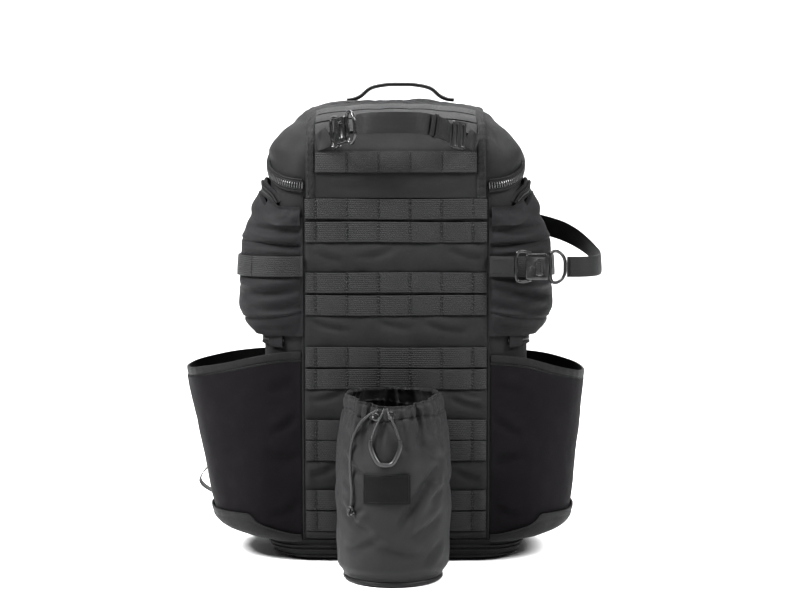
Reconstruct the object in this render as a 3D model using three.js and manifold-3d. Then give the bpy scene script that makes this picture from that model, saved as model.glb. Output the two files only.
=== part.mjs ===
// A camera backpack that stands upright on its base: a padded shell with a domed zipped lid,
// a front panel carrying rows of webbing, bulged zipped side doors, stretch side pockets,
// a gathered drawstring cup hung on the front, two buckled carrying straps and a plain harness.
// Millimetres. +X is to the right of someone who faces the webbing, +Y points to the wearer's
// back, +Z is up, and the origin is the centre of the flat base.
import * as THREE from "three";
import { mergeVertices } from "three/addons/utils/BufferGeometryUtils.js";
import Module from "manifold-3d";

const wasm = await Module();
wasm.setup();

// Clearance between pieces that touch on the real bag.
const GAP = 0.3;

const BODY = {
  height: 512,
  halfWidth: 146,
  front: 103,
  back: 84,
  wall: 8,
  frontCorner: 44,
  backCorner: 26,
  crown: 4,
};
// A height up the bag, as a share of its whole height.
const atShare = (share) => share * BODY.height;

// The outer form from base to crown, as shares of BODY's height, half width, front and back.
const BODY_SECTIONS = [
  { at: 0, width: 0.88, front: 0.82, back: 0.9 },
  { at: 0.014, width: 0.94, front: 0.9, back: 0.965 },
  { at: 0.05, width: 0.985, front: 0.95, back: 1 },
  { at: 0.16, width: 1, front: 0.975, back: 1 },
  { at: 0.4, width: 1, front: 1, back: 1 },
  { at: 0.65, width: 0.985, front: 0.995, back: 1 },
  { at: 0.79, width: 0.955, front: 0.975, back: 1 },
  { at: 0.845, width: 0.952, front: 0.96, back: 1 },
  { at: 0.885, width: 0.962, front: 0.925, back: 0.99 },
  { at: 0.902, width: 0.932, front: 0.875, back: 0.985 },
  { at: 0.921, width: 0.877, front: 0.81, back: 0.975 },
  { at: 0.943, width: 0.805, front: 0.7, back: 0.95 },
  { at: 0.96, width: 0.76, front: 0.5, back: 0.92 },
  { at: 0.973, width: 0.72, front: 0.29, back: 0.87 },
  { at: 0.985, width: 0.61, front: 0.05, back: 0.78 },
  { at: 0.992, width: 0.52, front: -0.03, back: 0.7 },
  { at: 1, width: 0.3, front: -0.12, back: 0.5 },
];
const TUB_LEVELS = [0.014, 0.05, 0.16, 0.4, 0.65, 0.79];
const DOME_LEVELS = [0.904, 0.921, 0.943, 0.96, 0.973, 0.985, 0.992];
const INNER_DOME_LEVELS = [0.992, 0.973, 0.943, 0.904];

// The zipped seam between tub and lid drops round the front corners: its height over SEAM.low,
// as a share of SEAM.rise, by depth as a share from the front, 0, to the back, 1.
const SEAM = { low: atShare(0.8096), rise: atShare(0.0762), band: 14, thickness: 3.5 };
const SEAM_LINE = [
  { at: 0, rise: 0 },
  { at: 0.06, rise: 0.09 },
  { at: 0.15, rise: 0.3 },
  { at: 0.25, rise: 0.53 },
  { at: 0.44, rise: 0.72 },
  { at: 0.7, rise: 0.87 },
  { at: 1, rise: 1 },
];
const LID_WALL = 6;
// Openings cut through the tub's padded walls.
const BACK_OPENING = { halfWidth: 116, low: atShare(0.0625), high: atShare(0.8281), corner: 24 };
const SIDE_PORT = {
  front: -52,
  back: 44,
  low: atShare(0.5352),
  high: atShare(0.75),
  corner: 16,
};

const WEBBING = { width: 22.2, thickness: 1.6 };
const PANEL = { halfWidth: 100, low: 27, high: atShare(0.7852), thickness: 1.5 };
// The lower edge of each webbing row on the front, as a share of the way up the panel.
const FRONT_ROWS = [
  { low: 0.024 },
  { low: 0.0861 },
  { low: 0.2331 },
  { low: 0.2955 },
  { low: 0.4453 },
  { low: 0.5088 },
  { low: 0.6613 },
  { low: 0.7275 },
  { low: 0.8741 },
  { low: 0.9413 },
];
const LID_PANEL = {
  halfWidth: 98,
  low: PANEL.high + 1,
  high: atShare(0.9932),
  droop: 9,
  droopFrom: atShare(0.8594),
  droopTo: atShare(0.9766),
  standoff: 1.1,
};
// Rows on the lid: the heights of their edges on the centre line, as shares of the way up its
// panel.
const LID_ROWS = [
  { low: 0.26, high: 0.47 },
  { low: 0.668, high: 0.79 },
  { low: 0.802, high: 0.878 },
  { low: 0.887, high: 0.942 },
];
const LID_ROW_HALF = 88;

const DOOR = {
  low: atShare(0.4922),
  frontTop: atShare(0.7461),
  rearTop: atShare(0.8008),
  bulge: 30,
  wall: 5,
  hem: 2.5,
};
// Where a door, its zip and a pocket end at the rear, on the shell's outline.
const DOOR_REAR_ZONE = 3.02;
const ZIP_REAR_ZONE = 3.3;
const POCKET_REAR_ZONE = 3.3;
const DOOR_ALONG = [
  { at: 0, bulge: 0 },
  { at: 0.12, bulge: 0.3 },
  { at: 0.3, bulge: 0.78 },
  { at: 0.5, bulge: 1 },
  { at: 0.75, bulge: 1 },
  { at: 0.92, bulge: 0.75 },
  { at: 1, bulge: 0.2 },
];
const DOOR_UP = [
  { at: 0, bulge: 0.35 },
  { at: 0.12, bulge: 0.85 },
  { at: 0.35, bulge: 1 },
  { at: 0.6, bulge: 0.97 },
  { at: 0.85, bulge: 0.72 },
  { at: 1, bulge: 0.42 },
];
const DOOR_ZIP = { width: 10, thickness: 3, corner: 26, standoff: 0.7, lift: 7, zone: 80 };
const DOOR_ROW_LOW = atShare(0.6201);
const PULL = { width: 5, thickness: 2.4, length: 20, height: atShare(0.5625) };

// Side pockets stand off the shell by their bulge, most at the rim.
const POCKET = {
  low: 26,
  roll: 20,
  foot: 0.4,
  wall: 2,
  standoff: 1.4,
  rimBand: 11,
  rimWall: 2.8,
};
const POCKET_LEFT = {
  name: "left",
  side: -1,
  rimBulge: 91,
  footBulge: 60,
  rimFront: atShare(0.459),
  rimOuter: atShare(0.4102),
};
const POCKET_RIGHT = {
  name: "right",
  side: 1,
  rimBulge: 67,
  footBulge: 52,
  rimFront: atShare(0.4512),
  rimOuter: atShare(0.4043),
};
// The pocket seen from above: share of the bulge, and place in depth from -1, front, to 1, back.
const POCKET_PLAN = [
  { out: -0.42, depth: -0.985 },
  { out: 0, depth: -0.985 },
  { out: 0.42, depth: -0.86 },
  { out: 0.84, depth: -0.58 },
  { out: 1, depth: -0.16 },
  { out: 0.93, depth: 0.26 },
  { out: 0.55, depth: 0.62 },
  { out: 0, depth: 0.83 },
];
const BOOT = { thickness: 1.5, standoff: 1.8, low: 0.1, high: 0.46 };

// The drawstring cup: height and radius as shares, and how deep the gathers are.
const CUP = { height: 199, radius: 61, centreX: -3, wall: 1.6, folds: 11, base: 6 };
const CUP_SECTIONS = [
  { at: 0.04, radius: 0.86, gather: 0 },
  { at: 0.1, radius: 0.97, gather: 0 },
  { at: 0.55, radius: 1, gather: 0.005 },
  { at: 0.75, radius: 0.965, gather: 0.015 },
  { at: 0.88, radius: 0.9, gather: 0.035 },
  { at: 0.95, radius: 0.82, gather: 0.06 },
  { at: 1, radius: 0.8, gather: 0.07 },
];
const CUP_MOUTH_DIP = 9;
const CUP_TAB = { width: 24, low: 60, high: 170, thickness: 2.4 };
const PATCH = { halfWidth: 24.5, low: 90, high: 121, centreX: -9, thickness: 0.8 };

const DRAWCORD_RADIUS = 1.5;
const HOOK_CORD_RADIUS = 1.2;

// Metal hook buckle: a plate with a bar at one end and a rounded ring at the other.
const BUCKLE = {
  plateLength: 24,
  plateWidth: 29,
  plateThickness: 5,
  wire: 1.9,
  barReach: 10,
  ringStart: 27,
  ringEnd: 42.6,
  ringWidth: 38,
};

const HANDLE = {
  centreX: 5,
  halfSpan: 50,
  rise: 17,
  width: 22,
  thickness: 4,
  depth: 44,
  settle: 0.5,
};
const BACK_PANEL = { halfWidth: 124, low: 24, high: atShare(0.8516), corner: 30, thickness: 8 };
const BACK_PAD = {
  halfWidth: 112,
  low: atShare(0.1211),
  high: atShare(0.7656),
  edge: 2,
  loft: 10,
  channel: 9,
};
const SHOULDER = { width: 62, thickness: 11 };
const LADDER = { length: 22, width: 30, thickness: 4.4, slot: 4.5, slotWidth: 24 };

const FABRIC = { color: 0x35343a, roughness: 0.85, metalness: 0 };
const STRETCH = { color: 0x2a272e, roughness: 0.9, metalness: 0 };
const WEB = { color: 0x3a3a3c, roughness: 0.7, metalness: 0 };
const CUP_CLOTH = { color: 0x47464a, roughness: 0.75, metalness: 0 };
const METAL = { color: 0x1d1d20, roughness: 0.35, metalness: 0.8 };
const PLASTIC = { color: 0x1b1b1d, roughness: 0.5, metalness: 0 };

// The value of one column of a table at a share between its rows, without overshoot.
function tableValue(table, column, at) {
  const last = table.length - 1;
  if (at <= table[0].at) return table[0][column];
  if (at >= table[last].at) return table[last][column];
  let i = 0;
  while (table[i + 1].at < at) i += 1;
  const slope = (k) =>
    (table[k + 1][column] - table[k][column]) / (table[k + 1].at - table[k].at);
  const tangent = (k) => {
    if (k === 0) return slope(0);
    if (k === last) return slope(last - 1);
    const before = slope(k - 1);
    const after = slope(k);
    return before * after <= 0 ? 0 : (2 * before * after) / (before + after);
  };
  const step = table[i + 1].at - table[i].at;
  const s = (at - table[i].at) / step;
  const rise = s * s * (3 - 2 * s);
  return (
    table[i][column] * (1 - rise) +
    table[i + 1][column] * rise +
    step * tangent(i) * s * (1 - s) * (1 - s) -
    step * tangent(i + 1) * s * s * (1 - s)
  );
}

const lerp = (a, b, s) => a + (b - a) * s;
const smooth = (from, to, x) => {
  const s = Math.min(1, Math.max(0, (x - from) / (to - from)));
  return s * s * (3 - 2 * s);
};

// Half width, front, back and corner radii of the shell at a height, grown outwards by out.
function sectionAt(z, out = 0) {
  const at = z / BODY.height;
  const halfWidth = BODY.halfWidth * tableValue(BODY_SECTIONS, "width", at);
  const front = BODY.front * tableValue(BODY_SECTIONS, "front", at);
  const back = BODY.back * tableValue(BODY_SECTIONS, "back", at);
  const room = 0.48 * Math.min(front + back, 2 * halfWidth);
  return {
    halfWidth: halfWidth + out,
    front: front + out,
    back: back + out,
    frontCorner: Math.max(2, Math.min(BODY.frontCorner, room) + out),
    backCorner: Math.max(2, Math.min(BODY.backCorner, room) + out),
  };
}

// The front is bowed: it falls back a little towards its corners.
function bowed(x, y, section) {
  const towardsFront = Math.max(0, -y / BODY.front);
  return y + BODY.crown * (x / section.halfWidth) ** 2 * towardsFront;
}

// A point on the shell's outline. zone runs 0 to 1 along the front, to 2 round the front corner,
// to 3 along the side, to 4 round the back corner and to 5 along the back, then mirrored to 10.
function outlinePoint(zone, z, out = 0) {
  const mirrored = zone > 5;
  const t = mirrored ? 10 - zone : zone;
  const s = sectionAt(z, out);
  const quarter = Math.PI / 2;
  let x;
  let y;
  if (t <= 1) {
    x = t * (s.halfWidth - s.frontCorner);
    y = -s.front;
  } else if (t <= 2) {
    const angle = (t - 1) * quarter;
    x = s.halfWidth - s.frontCorner * (1 - Math.sin(angle));
    y = -s.front + s.frontCorner * (1 - Math.cos(angle));
  } else if (t <= 3) {
    x = s.halfWidth;
    y = lerp(-s.front + s.frontCorner, s.back - s.backCorner, t - 2);
  } else if (t <= 4) {
    const angle = (t - 3) * quarter;
    x = s.halfWidth - s.backCorner * (1 - Math.cos(angle));
    y = s.back - s.backCorner * (1 - Math.sin(angle));
  } else {
    x = (5 - t) * (s.halfWidth - s.backCorner);
    y = s.back;
  }
  return new THREE.Vector3(mirrored ? -x : x, bowed(x, y, s), z);
}

// The same, at the height that heightAt gives for the point's own depth.
function slantedPoint(zone, heightAt, out = 0) {
  let point = outlinePoint(zone, heightAt(0), out);
  for (let i = 0; i < 6; i += 1) point = outlinePoint(zone, heightAt(point.y), out);
  return point;
}

const seamHeight = (y) =>
  SEAM.low + SEAM.rise * tableValue(SEAM_LINE, "rise", (y + BODY.front) / (BODY.front + BODY.back));

// The zone on the front corner where the outline reaches a distance from the middle.
function zoneAtX(x, z) {
  const s = sectionAt(z);
  const straight = s.halfWidth - s.frontCorner;
  if (x <= straight) return x / straight;
  return 1 + Math.asin(Math.min(1, (x - straight) / s.frontCorner)) / (Math.PI / 2);
}

// The point of the shell's front face at a distance from the middle and a height.
const frontPoint = (x, z) => {
  const point = outlinePoint(zoneAtX(Math.abs(x), z), z);
  return new THREE.Vector3(x, point.y, z);
};

const HALF_ZONES = [0, 0.5, 1, 1.2, 1.4, 1.6, 1.8, 2, 3, 3.33, 3.67, 4, 5];
const ZONES = [
  ...HALF_ZONES,
  ...HALF_ZONES.slice(1, -1)
    .reverse()
    .map((zone) => 10 - zone),
];
const ring = (heightAt, out) => ZONES.map((zone) => slantedPoint(zone, heightAt, out));

// A triangle mesh from corner points and index triples, turned to face outwards.
function meshOf(points, triangles) {
  let volume = 0;
  for (const [a, b, c] of triangles) {
    volume += points[a].dot(new THREE.Vector3().crossVectors(points[b], points[c]));
  }
  const faces = volume < 0 ? triangles.map(([a, b, c]) => [a, c, b]) : triangles;
  const geometry = new THREE.BufferGeometry();
  geometry.setAttribute(
    "position",
    new THREE.Float32BufferAttribute(
      points.flatMap((p) => [p.x, p.y, p.z]),
      3,
    ),
  );
  geometry.setIndex(faces.flat());
  return geometry;
}

// A closed skin over a row of rings. Each end is closed by a fan, or the last ring meets the first.
function skinRings(rings, joined = false) {
  const count = rings[0].length;
  const points = rings.flat();
  const triangles = [];
  const spans = joined ? rings.length : rings.length - 1;
  for (let r = 0; r < spans; r += 1) {
    const next = (r + 1) % rings.length;
    for (let i = 0; i < count; i += 1) {
      const j = (i + 1) % count;
      const [a, b, c, d] = [r * count + i, r * count + j, next * count + j, next * count + i];
      triangles.push([a, b, c], [a, c, d]);
    }
  }
  if (!joined) {
    for (const end of [0, rings.length - 1]) {
      const centre = new THREE.Vector3();
      rings[end].forEach((p) => centre.addScaledVector(p, 1 / count));
      points.push(centre);
      const hub = points.length - 1;
      for (let i = 0; i < count; i += 1) {
        const j = (i + 1) % count;
        const [a, b] = [end * count + i, end * count + j];
        triangles.push(end === 0 ? [hub, b, a] : [hub, a, b]);
      }
    }
  }
  return meshOf(points, triangles);
}

const evenShares = (count) => Array.from({ length: count + 1 }, (_, i) => i / count);

// A closed wall between two sheets given as functions of u and v, each from 0 to 1. The steps
// across are a count of even ones or a list of the values of u.
function wallBetween(inner, outer, steps, up) {
  const shares = Array.isArray(steps) ? steps : evenShares(steps);
  const across = shares.length - 1;
  const points = [];
  for (const sheet of [inner, outer]) {
    for (let j = 0; j <= up; j += 1) {
      shares.forEach((u) => points.push(sheet(u, j / up)));
    }
  }
  const layer = (across + 1) * (up + 1);
  const index = (sheet, i, j) => sheet * layer + j * (across + 1) + i;
  const triangles = [];
  const quad = (a, b, c, d) => triangles.push([a, b, c], [a, c, d]);
  for (let j = 0; j < up; j += 1) {
    for (let i = 0; i < across; i += 1) {
      quad(index(1, i, j), index(1, i + 1, j), index(1, i + 1, j + 1), index(1, i, j + 1));
      quad(index(0, i, j), index(0, i, j + 1), index(0, i + 1, j + 1), index(0, i + 1, j));
    }
  }
  for (let i = 0; i < across; i += 1) {
    quad(index(0, i, 0), index(0, i + 1, 0), index(1, i + 1, 0), index(1, i, 0));
    quad(index(1, i, up), index(1, i + 1, up), index(0, i + 1, up), index(0, i, up));
  }
  for (let j = 0; j < up; j += 1) {
    quad(index(1, 0, j), index(1, 0, j + 1), index(0, 0, j + 1), index(0, 0, j));
    quad(index(0, across, j), index(0, across, j + 1), index(1, across, j + 1), index(1, across, j));
  }
  return meshOf(points, triangles);
}

// A sheet moved along its own normal, which is the cross product of its u and v directions.
function offsetSheet(sheet, distance) {
  const step = 1e-3;
  return (u, v) => {
    const alongU = sheet(Math.min(1, u + step), v).sub(sheet(Math.max(0, u - step), v));
    const alongV = sheet(u, Math.min(1, v + step)).sub(sheet(u, Math.max(0, v - step)));
    const normal = alongU.cross(alongV).normalize();
    return sheet(u, v).addScaledVector(normal, distance);
  };
}

const layerOn = (sheet, from, thickness, across, up) =>
  wallBetween(offsetSheet(sheet, from), offsetSheet(sheet, from + thickness), across, up);

// Cross sections of a strip, as shares of its half width and half thickness.
const FLAT = [[-1, -1], [1, -1], [1, 1], [-1, 1]];
const PADDED = [
  [-1, -0.4], [-0.86, -1], [0.86, -1], [1, -0.4], [1, 0.4], [0.86, 1], [-0.86, 1], [-1, 0.4],
];

// A strip of webbing along points. towards gives the way its flat face looks at each point.
function ribbon(points, towards, width, thickness, section = FLAT) {
  const rings = points.map((point, i) => {
    const tangent = points[Math.min(i + 1, points.length - 1)]
      .clone()
      .sub(points[Math.max(i - 1, 0)])
      .normalize();
    const facing = towards(point, i / (points.length - 1), tangent).clone();
    facing.addScaledVector(tangent, -facing.dot(tangent)).normalize();
    const across = new THREE.Vector3().crossVectors(tangent, facing);
    const corner = (w, n) =>
      point
        .clone()
        .addScaledVector(across, (w * width) / 2)
        .addScaledVector(facing, (n * thickness) / 2);
    return section.map(([w, n]) => corner(w, n));
  });
  return skinRings(rings);
}

// A round cord along points, or a closed loop of it.
function tube(points, radius, sides, closed = false) {
  const count = points.length;
  let facing = new THREE.Vector3(0.3, -1, 0.2);
  const rings = points.map((point, i) => {
    const before = points[closed ? (i + count - 1) % count : Math.max(i - 1, 0)];
    const after = points[closed ? (i + 1) % count : Math.min(i + 1, count - 1)];
    const tangent = after.clone().sub(before).normalize();
    facing = facing.clone().addScaledVector(tangent, -facing.dot(tangent)).normalize();
    const across = new THREE.Vector3().crossVectors(tangent, facing);
    return Array.from({ length: sides }, (_, k) => {
      const angle = (2 * Math.PI * k) / sides;
      return point
        .clone()
        .addScaledVector(facing, radius * Math.cos(angle))
        .addScaledVector(across, radius * Math.sin(angle));
    });
  });
  return skinRings(rings, closed);
}

const smoothCurve = (corners, steps, closed = false) => {
  const curve = new THREE.CatmullRomCurve3(
    corners.map(([x, y, z]) => new THREE.Vector3(x, y, z)),
    closed,
    "centripetal",
  );
  const points = curve.getSpacedPoints(steps);
  return closed ? points.slice(0, -1) : points;
};

// A flat plate with rounded corners in the XZ plane, from depth near to depth far.
function roundedPlate({ left, right, low, high, corner, near, far, bevel = 0 }) {
  const shape = new THREE.Shape();
  shape.moveTo(left + corner, low);
  shape.lineTo(right - corner, low);
  shape.absarc(right - corner, low + corner, corner, -Math.PI / 2, 0);
  shape.lineTo(right, high - corner);
  shape.absarc(right - corner, high - corner, corner, 0, Math.PI / 2);
  shape.lineTo(left + corner, high);
  shape.absarc(left + corner, high - corner, corner, Math.PI / 2, Math.PI);
  shape.lineTo(left, low + corner);
  shape.absarc(left + corner, low + corner, corner, Math.PI, (3 * Math.PI) / 2);
  const geometry = new THREE.ExtrudeGeometry(shape, {
    depth: far - near - 2 * bevel,
    bevelEnabled: bevel > 0,
    bevelThickness: bevel,
    bevelSize: bevel,
    bevelOffset: -bevel,
    bevelSegments: 1,
    curveSegments: 2,
  });
  return geometry.rotateX(Math.PI / 2).translate(0, far - bevel, 0);
}

function toManifold(geometry) {
  const bare = geometry.clone();
  bare.deleteAttribute("normal");
  bare.deleteAttribute("uv");
  const merged = mergeVertices(bare, 1e-4);
  return new wasm.Manifold(
    new wasm.Mesh({
      numProp: 3,
      vertProperties: merged.attributes.position.array,
      triVerts: new Uint32Array(merged.index.array),
    }),
  );
}

function fromManifold(solid) {
  const mesh = solid.getMesh();
  const geometry = new THREE.BufferGeometry();
  geometry.setAttribute("position", new THREE.BufferAttribute(mesh.vertProperties, 3));
  geometry.setIndex(new THREE.BufferAttribute(mesh.triVerts, 1));
  return geometry;
}

const cut = (geometry, ...tools) =>
  fromManifold(tools.reduce((solid, tool) => solid.subtract(toManifold(tool)), toManifold(geometry)));
const join = (...pieces) =>
  fromManifold(pieces.map(toManifold).reduce((solid, piece) => solid.add(piece)));

function mirrored(geometry) {
  const flipped = geometry.clone().scale(-1, 1, 1);
  const index = flipped.index.array;
  for (let i = 0; i < index.length; i += 3) [index[i], index[i + 1]] = [index[i + 1], index[i]];
  return flipped;
}

const backpack = new THREE.Group();

function addPiece(name, geometry, finish, parent = backpack) {
  const mesh = new THREE.Mesh(geometry, new THREE.MeshStandardMaterial(finish));
  mesh.name = name;
  parent.add(mesh);
  return mesh;
}

function addShell() {
  const level = (share) => () => share * BODY.height;
  const seamBelow = (y) => seamHeight(y) - GAP;
  const tub = skinRings([
    ring(level(0), 0),
    ...TUB_LEVELS.map((share) => ring(level(share), 0)),
    ring(seamBelow, 0),
    ring(seamBelow, -BODY.wall),
    ...TUB_LEVELS.slice(2)
      .reverse()
      .map((share) => ring(level(share), -BODY.wall)),
    ring(() => BODY.wall, -BODY.wall),
  ]);
  const backHole = roundedPlate({
    left: -BACK_OPENING.halfWidth,
    right: BACK_OPENING.halfWidth,
    ...BACK_OPENING,
    near: BODY.back - 2 * BODY.wall,
    far: BODY.back + BODY.wall,
  });
  const portLength = BODY.halfWidth + BODY.wall;
  const sideHoles = roundedPlate({
    left: SIDE_PORT.front,
    right: SIDE_PORT.back,
    ...SIDE_PORT,
    near: -portLength,
    far: portLength,
  }).rotateZ(Math.PI / 2);
  addPiece("main_body", cut(tub, backHole, sideHoles), FABRIC);

  const seamAbove = (y) => seamHeight(y) + GAP;
  const lowered = (share) => {
    const z = share * BODY.height;
    return () => z - (LID_WALL * (z - SEAM.low)) / (BODY.height - SEAM.low);
  };
  const lid = skinRings([
    ring(lowered(1), -LID_WALL),
    ...INNER_DOME_LEVELS.map((share) => ring(lowered(share), -LID_WALL)),
    ring(seamAbove, -LID_WALL),
    ring(seamAbove, 0),
    ...DOME_LEVELS.map((share) => ring(level(share), 0)),
    ring(level(1), 0),
  ]);
  addPiece("lid", lid, FABRIC);
}

// The zip that closes the lid runs round the sides and back, from one edge of the front panel
// to the other.
function addLidZipper() {
  const start = zoneAtX(PANEL.halfWidth + 1.2, seamHeight(-BODY.front));
  const sheet = (u, v) => {
    const zone = lerp(start, 10 - start, u);
    return slantedPoint(zone, (y) => seamHeight(y) + (v - 0.5) * SEAM.band);
  };
  // It bends where the shell does.
  const bends = ZONES.filter((zone) => zone > start && zone < 10 - start);
  const shares = bends.map((zone) => (zone - start) / (10 - 2 * start));
  addPiece("lid_zipper", layerOn(sheet, 3 * GAP, SEAM.thickness, [0, ...shares, 1], 2), WEB);
}

const onPanel = GAP + PANEL.thickness + GAP;

function addFrontPanel() {
  const sheet = (u, v) =>
    frontPoint(lerp(-1, 1, u) * PANEL.halfWidth, lerp(PANEL.low, PANEL.high, v));
  addPiece("front_panel", layerOn(sheet, GAP, PANEL.thickness, 6, 9), FABRIC);
  FRONT_ROWS.forEach(({ low }, i) => {
    const height = lerp(PANEL.low, PANEL.high, low);
    const row = (u, v) =>
      frontPoint(lerp(-1, 1, u) * (PANEL.halfWidth - 1), height + v * WEBBING.width);
    const name = `webbing_row_${String(i + 1).padStart(2, "0")}`;
    addPiece(name, layerOn(row, onPanel, WEBBING.thickness, 6, 1), WEB);
  });
}

const onLidPanel = LID_PANEL.standoff + PANEL.thickness + 2.4 * GAP;

// The lid's front, across from -1 to 1, by the height on its centre line. Level lines droop
// towards the sides where the dome turns over.
function lidPoint(across, height, halfWidth) {
  const x = across * halfWidth;
  const droop = LID_PANEL.droop * smooth(LID_PANEL.droopFrom, LID_PANEL.droopTo, height);
  return frontPoint(x, height - droop * (x / LID_PANEL.halfWidth) ** 2);
}

function addLidPanel() {
  // Steps in height shrink towards the top, where the dome turns over.
  const height = (v) => LID_PANEL.high - (LID_PANEL.high - LID_PANEL.low) * (1 - v) ** 1.8;
  const sheet = (u, v) => lidPoint(lerp(-1, 1, u), height(v), LID_PANEL.halfWidth);
  const panel = layerOn(sheet, LID_PANEL.standoff, PANEL.thickness, 12, 13);
  addPiece("lid_panel", panel, FABRIC);
  LID_ROWS.forEach(({ low, high }, i) => {
    const upPanel = (share) => lerp(LID_PANEL.low, LID_PANEL.high, share);
    const row = (u, v) => lidPoint(lerp(-1, 1, u), upPanel(lerp(low, high, v)), LID_ROW_HALF);
    const strip = layerOn(row, onLidPanel, WEBBING.thickness, 12, i === 0 ? 1 : 2);
    addPiece(`lid_row_${i + 1}`, strip, WEB);
  });
}

const doorTop = (u) => lerp(DOOR.frontTop, DOOR.rearTop, smooth(0.2, 0.55, u));
const doorZone = (u, z) => lerp(zoneAtX(PANEL.halfWidth + 1.5, z), DOOR_REAR_ZONE, u ** 1.15);
function doorBulge(u, z) {
  const up = (z - DOOR.low) / (doorTop(u) - DOOR.low);
  return DOOR.bulge * tableValue(DOOR_ALONG, "bulge", u) * tableValue(DOOR_UP, "bulge", up);
}
const doorOuter = (u, z) => 2 * GAP + Math.max(DOOR.hem, doorBulge(u, z));

function addDoor(name, flip) {
  const point = (u, v, out) => {
    const z = lerp(DOOR.low, doorTop(u), v);
    return outlinePoint(doorZone(u, z), z, out(u, z));
  };
  const inner = (u, v) =>
    point(u, v, (share, z) => 2 * GAP + Math.max(0, doorBulge(share, z) - DOOR.wall));
  const outer = (u, v) => point(u, v, doorOuter);
  addPiece(`side_door_${name}`, flip(wallBetween(inner, outer, 12, 6)), FABRIC);

  const row = (from) => (u, v) => {
    const z = DOOR_ROW_LOW + v * WEBBING.width;
    return outlinePoint(doorZone(u, z), z, doorOuter(u, z) + from);
  };
  const webbing = wallBetween(row(0.9), row(0.9 + WEBBING.thickness), 14, 1);
  addPiece(`door_webbing_${name}`, flip(webbing), WEB);

  // The door's zip: along the top, round the rear corner, down and back along the bottom.
  const edge = DOOR_ZIP.width / 2 + GAP;
  const turn = lerp(DOOR_REAR_ZONE, ZIP_REAR_ZONE, 0.8);
  const top = DOOR.rearTop + edge;
  const bottom = DOOR.low - edge;
  const above = (u, extra) => [doorZone(u, doorTop(u)), doorTop(u) + edge + extra];
  const route = [
    above(0.3, 1),
    above(0.4, 2),
    above(0.52, 1.5),
    above(0.65, 0),
    above(0.92, 0),
    [turn, top - 3],
    [ZIP_REAR_ZONE, top - DOOR_ZIP.corner],
    [ZIP_REAR_ZONE, lerp(bottom, top, 0.5)],
    [ZIP_REAR_ZONE, bottom + DOOR_ZIP.corner],
    [turn, bottom + 3],
    [doorZone(0.92, bottom), bottom],
    [doorZone(0.6, bottom), bottom],
    [doorZone(0.2, bottom), bottom],
  ];
  const flat = smoothCurve(
    route.map(([zone, z]) => [zone * DOOR_ZIP.zone, 0, z]),
    46,
  );
  const onShell = DOOR_ZIP.standoff + DOOR_ZIP.thickness / 2;
  // Along the top it stands out with the door's upper edge.
  const liftAt = (p) =>
    onShell +
    DOOR_ZIP.lift *
      smooth(top - 16, top - 4, p.z) *
      smooth(1.5, 1.9, p.x / DOOR_ZIP.zone) *
      (1 - smooth(2.7, DOOR_REAR_ZONE, p.x / DOOR_ZIP.zone));
  const points = flat.map((p) => outlinePoint(p.x / DOOR_ZIP.zone, p.z, liftAt(p)));
  const normals = flat.map((p, i) =>
    outlinePoint(p.x / DOOR_ZIP.zone, p.z, liftAt(p) + 1).sub(points[i]),
  );
  const zip = ribbon(
    points,
    (_, share) => normals[Math.round(share * (points.length - 1))],
    DOOR_ZIP.width,
    DOOR_ZIP.thickness,
  );
  addPiece(`door_zipper_${name}`, flip(zip), WEB);

  // The slider's pull hangs on the rear run of the zip.
  const hang = outlinePoint(ZIP_REAR_ZONE, PULL.height, 2 * onShell + GAP + PULL.thickness / 2);
  const pull = ribbon(
    [hang, hang.clone().add(new THREE.Vector3(0.6, 0, -PULL.length / 2)),
      hang.clone().add(new THREE.Vector3(1.4, 0, -PULL.length))],
    () => new THREE.Vector3(1, 0.6, 0),
    PULL.width,
    PULL.thickness,
  );
  addPiece(`zip_pull_${name}`, flip(pull), PLASTIC);
}

// The outer face of a stretch pocket. u runs from its front seam to its rear seam, and v from
// where it closes on the shell, round its foot, to the rim.
function pocketSheet(pocket, top) {
  const plan = new THREE.CatmullRomCurve3(
    POCKET_PLAN.map(({ out, depth }) => new THREE.Vector3(out, depth, 0)),
    false,
    "centripetal",
  );
  const frontZone = zoneAtX(PANEL.halfWidth + 3, POCKET.low);
  return (u, v) => {
    const rim = top(u);
    const turning = Math.min(1, v / POCKET.foot) * (Math.PI / 2);
    const climb = Math.max(0, (v - POCKET.foot) / (1 - POCKET.foot));
    const z = POCKET.low + POCKET.roll * (1 - Math.cos(turning)) +
      (rim - POCKET.low - POCKET.roll) * climb;
    const zone = lerp(frontZone, POCKET_REAR_ZONE, u);
    const seam = outlinePoint(zone, z, POCKET.standoff);
    const s = sectionAt(z);
    const bulge = lerp(pocket.footBulge, pocket.rimBulge, climb);
    const { x: out, y: depth } = plan.getPoint(u);
    const halfWidth = s.halfWidth + POCKET.standoff;
    const reach = out < 0 ? out * (s.halfWidth - PANEL.halfWidth - 3) / 0.42 : out * bulge;
    const far = new THREE.Vector3(
      halfWidth + reach,
      depth * (depth < 0 ? s.front + POCKET.standoff : s.back),
      z,
    );
    return seam.lerp(far, Math.sin(turning));
  };
}

const rimHeight = (pocket) => (u) =>
  lerp(pocket.rimFront, pocket.rimOuter, smooth(0, 0.55, u)) +
  12 * smooth(0.6, 1, u);

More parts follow.
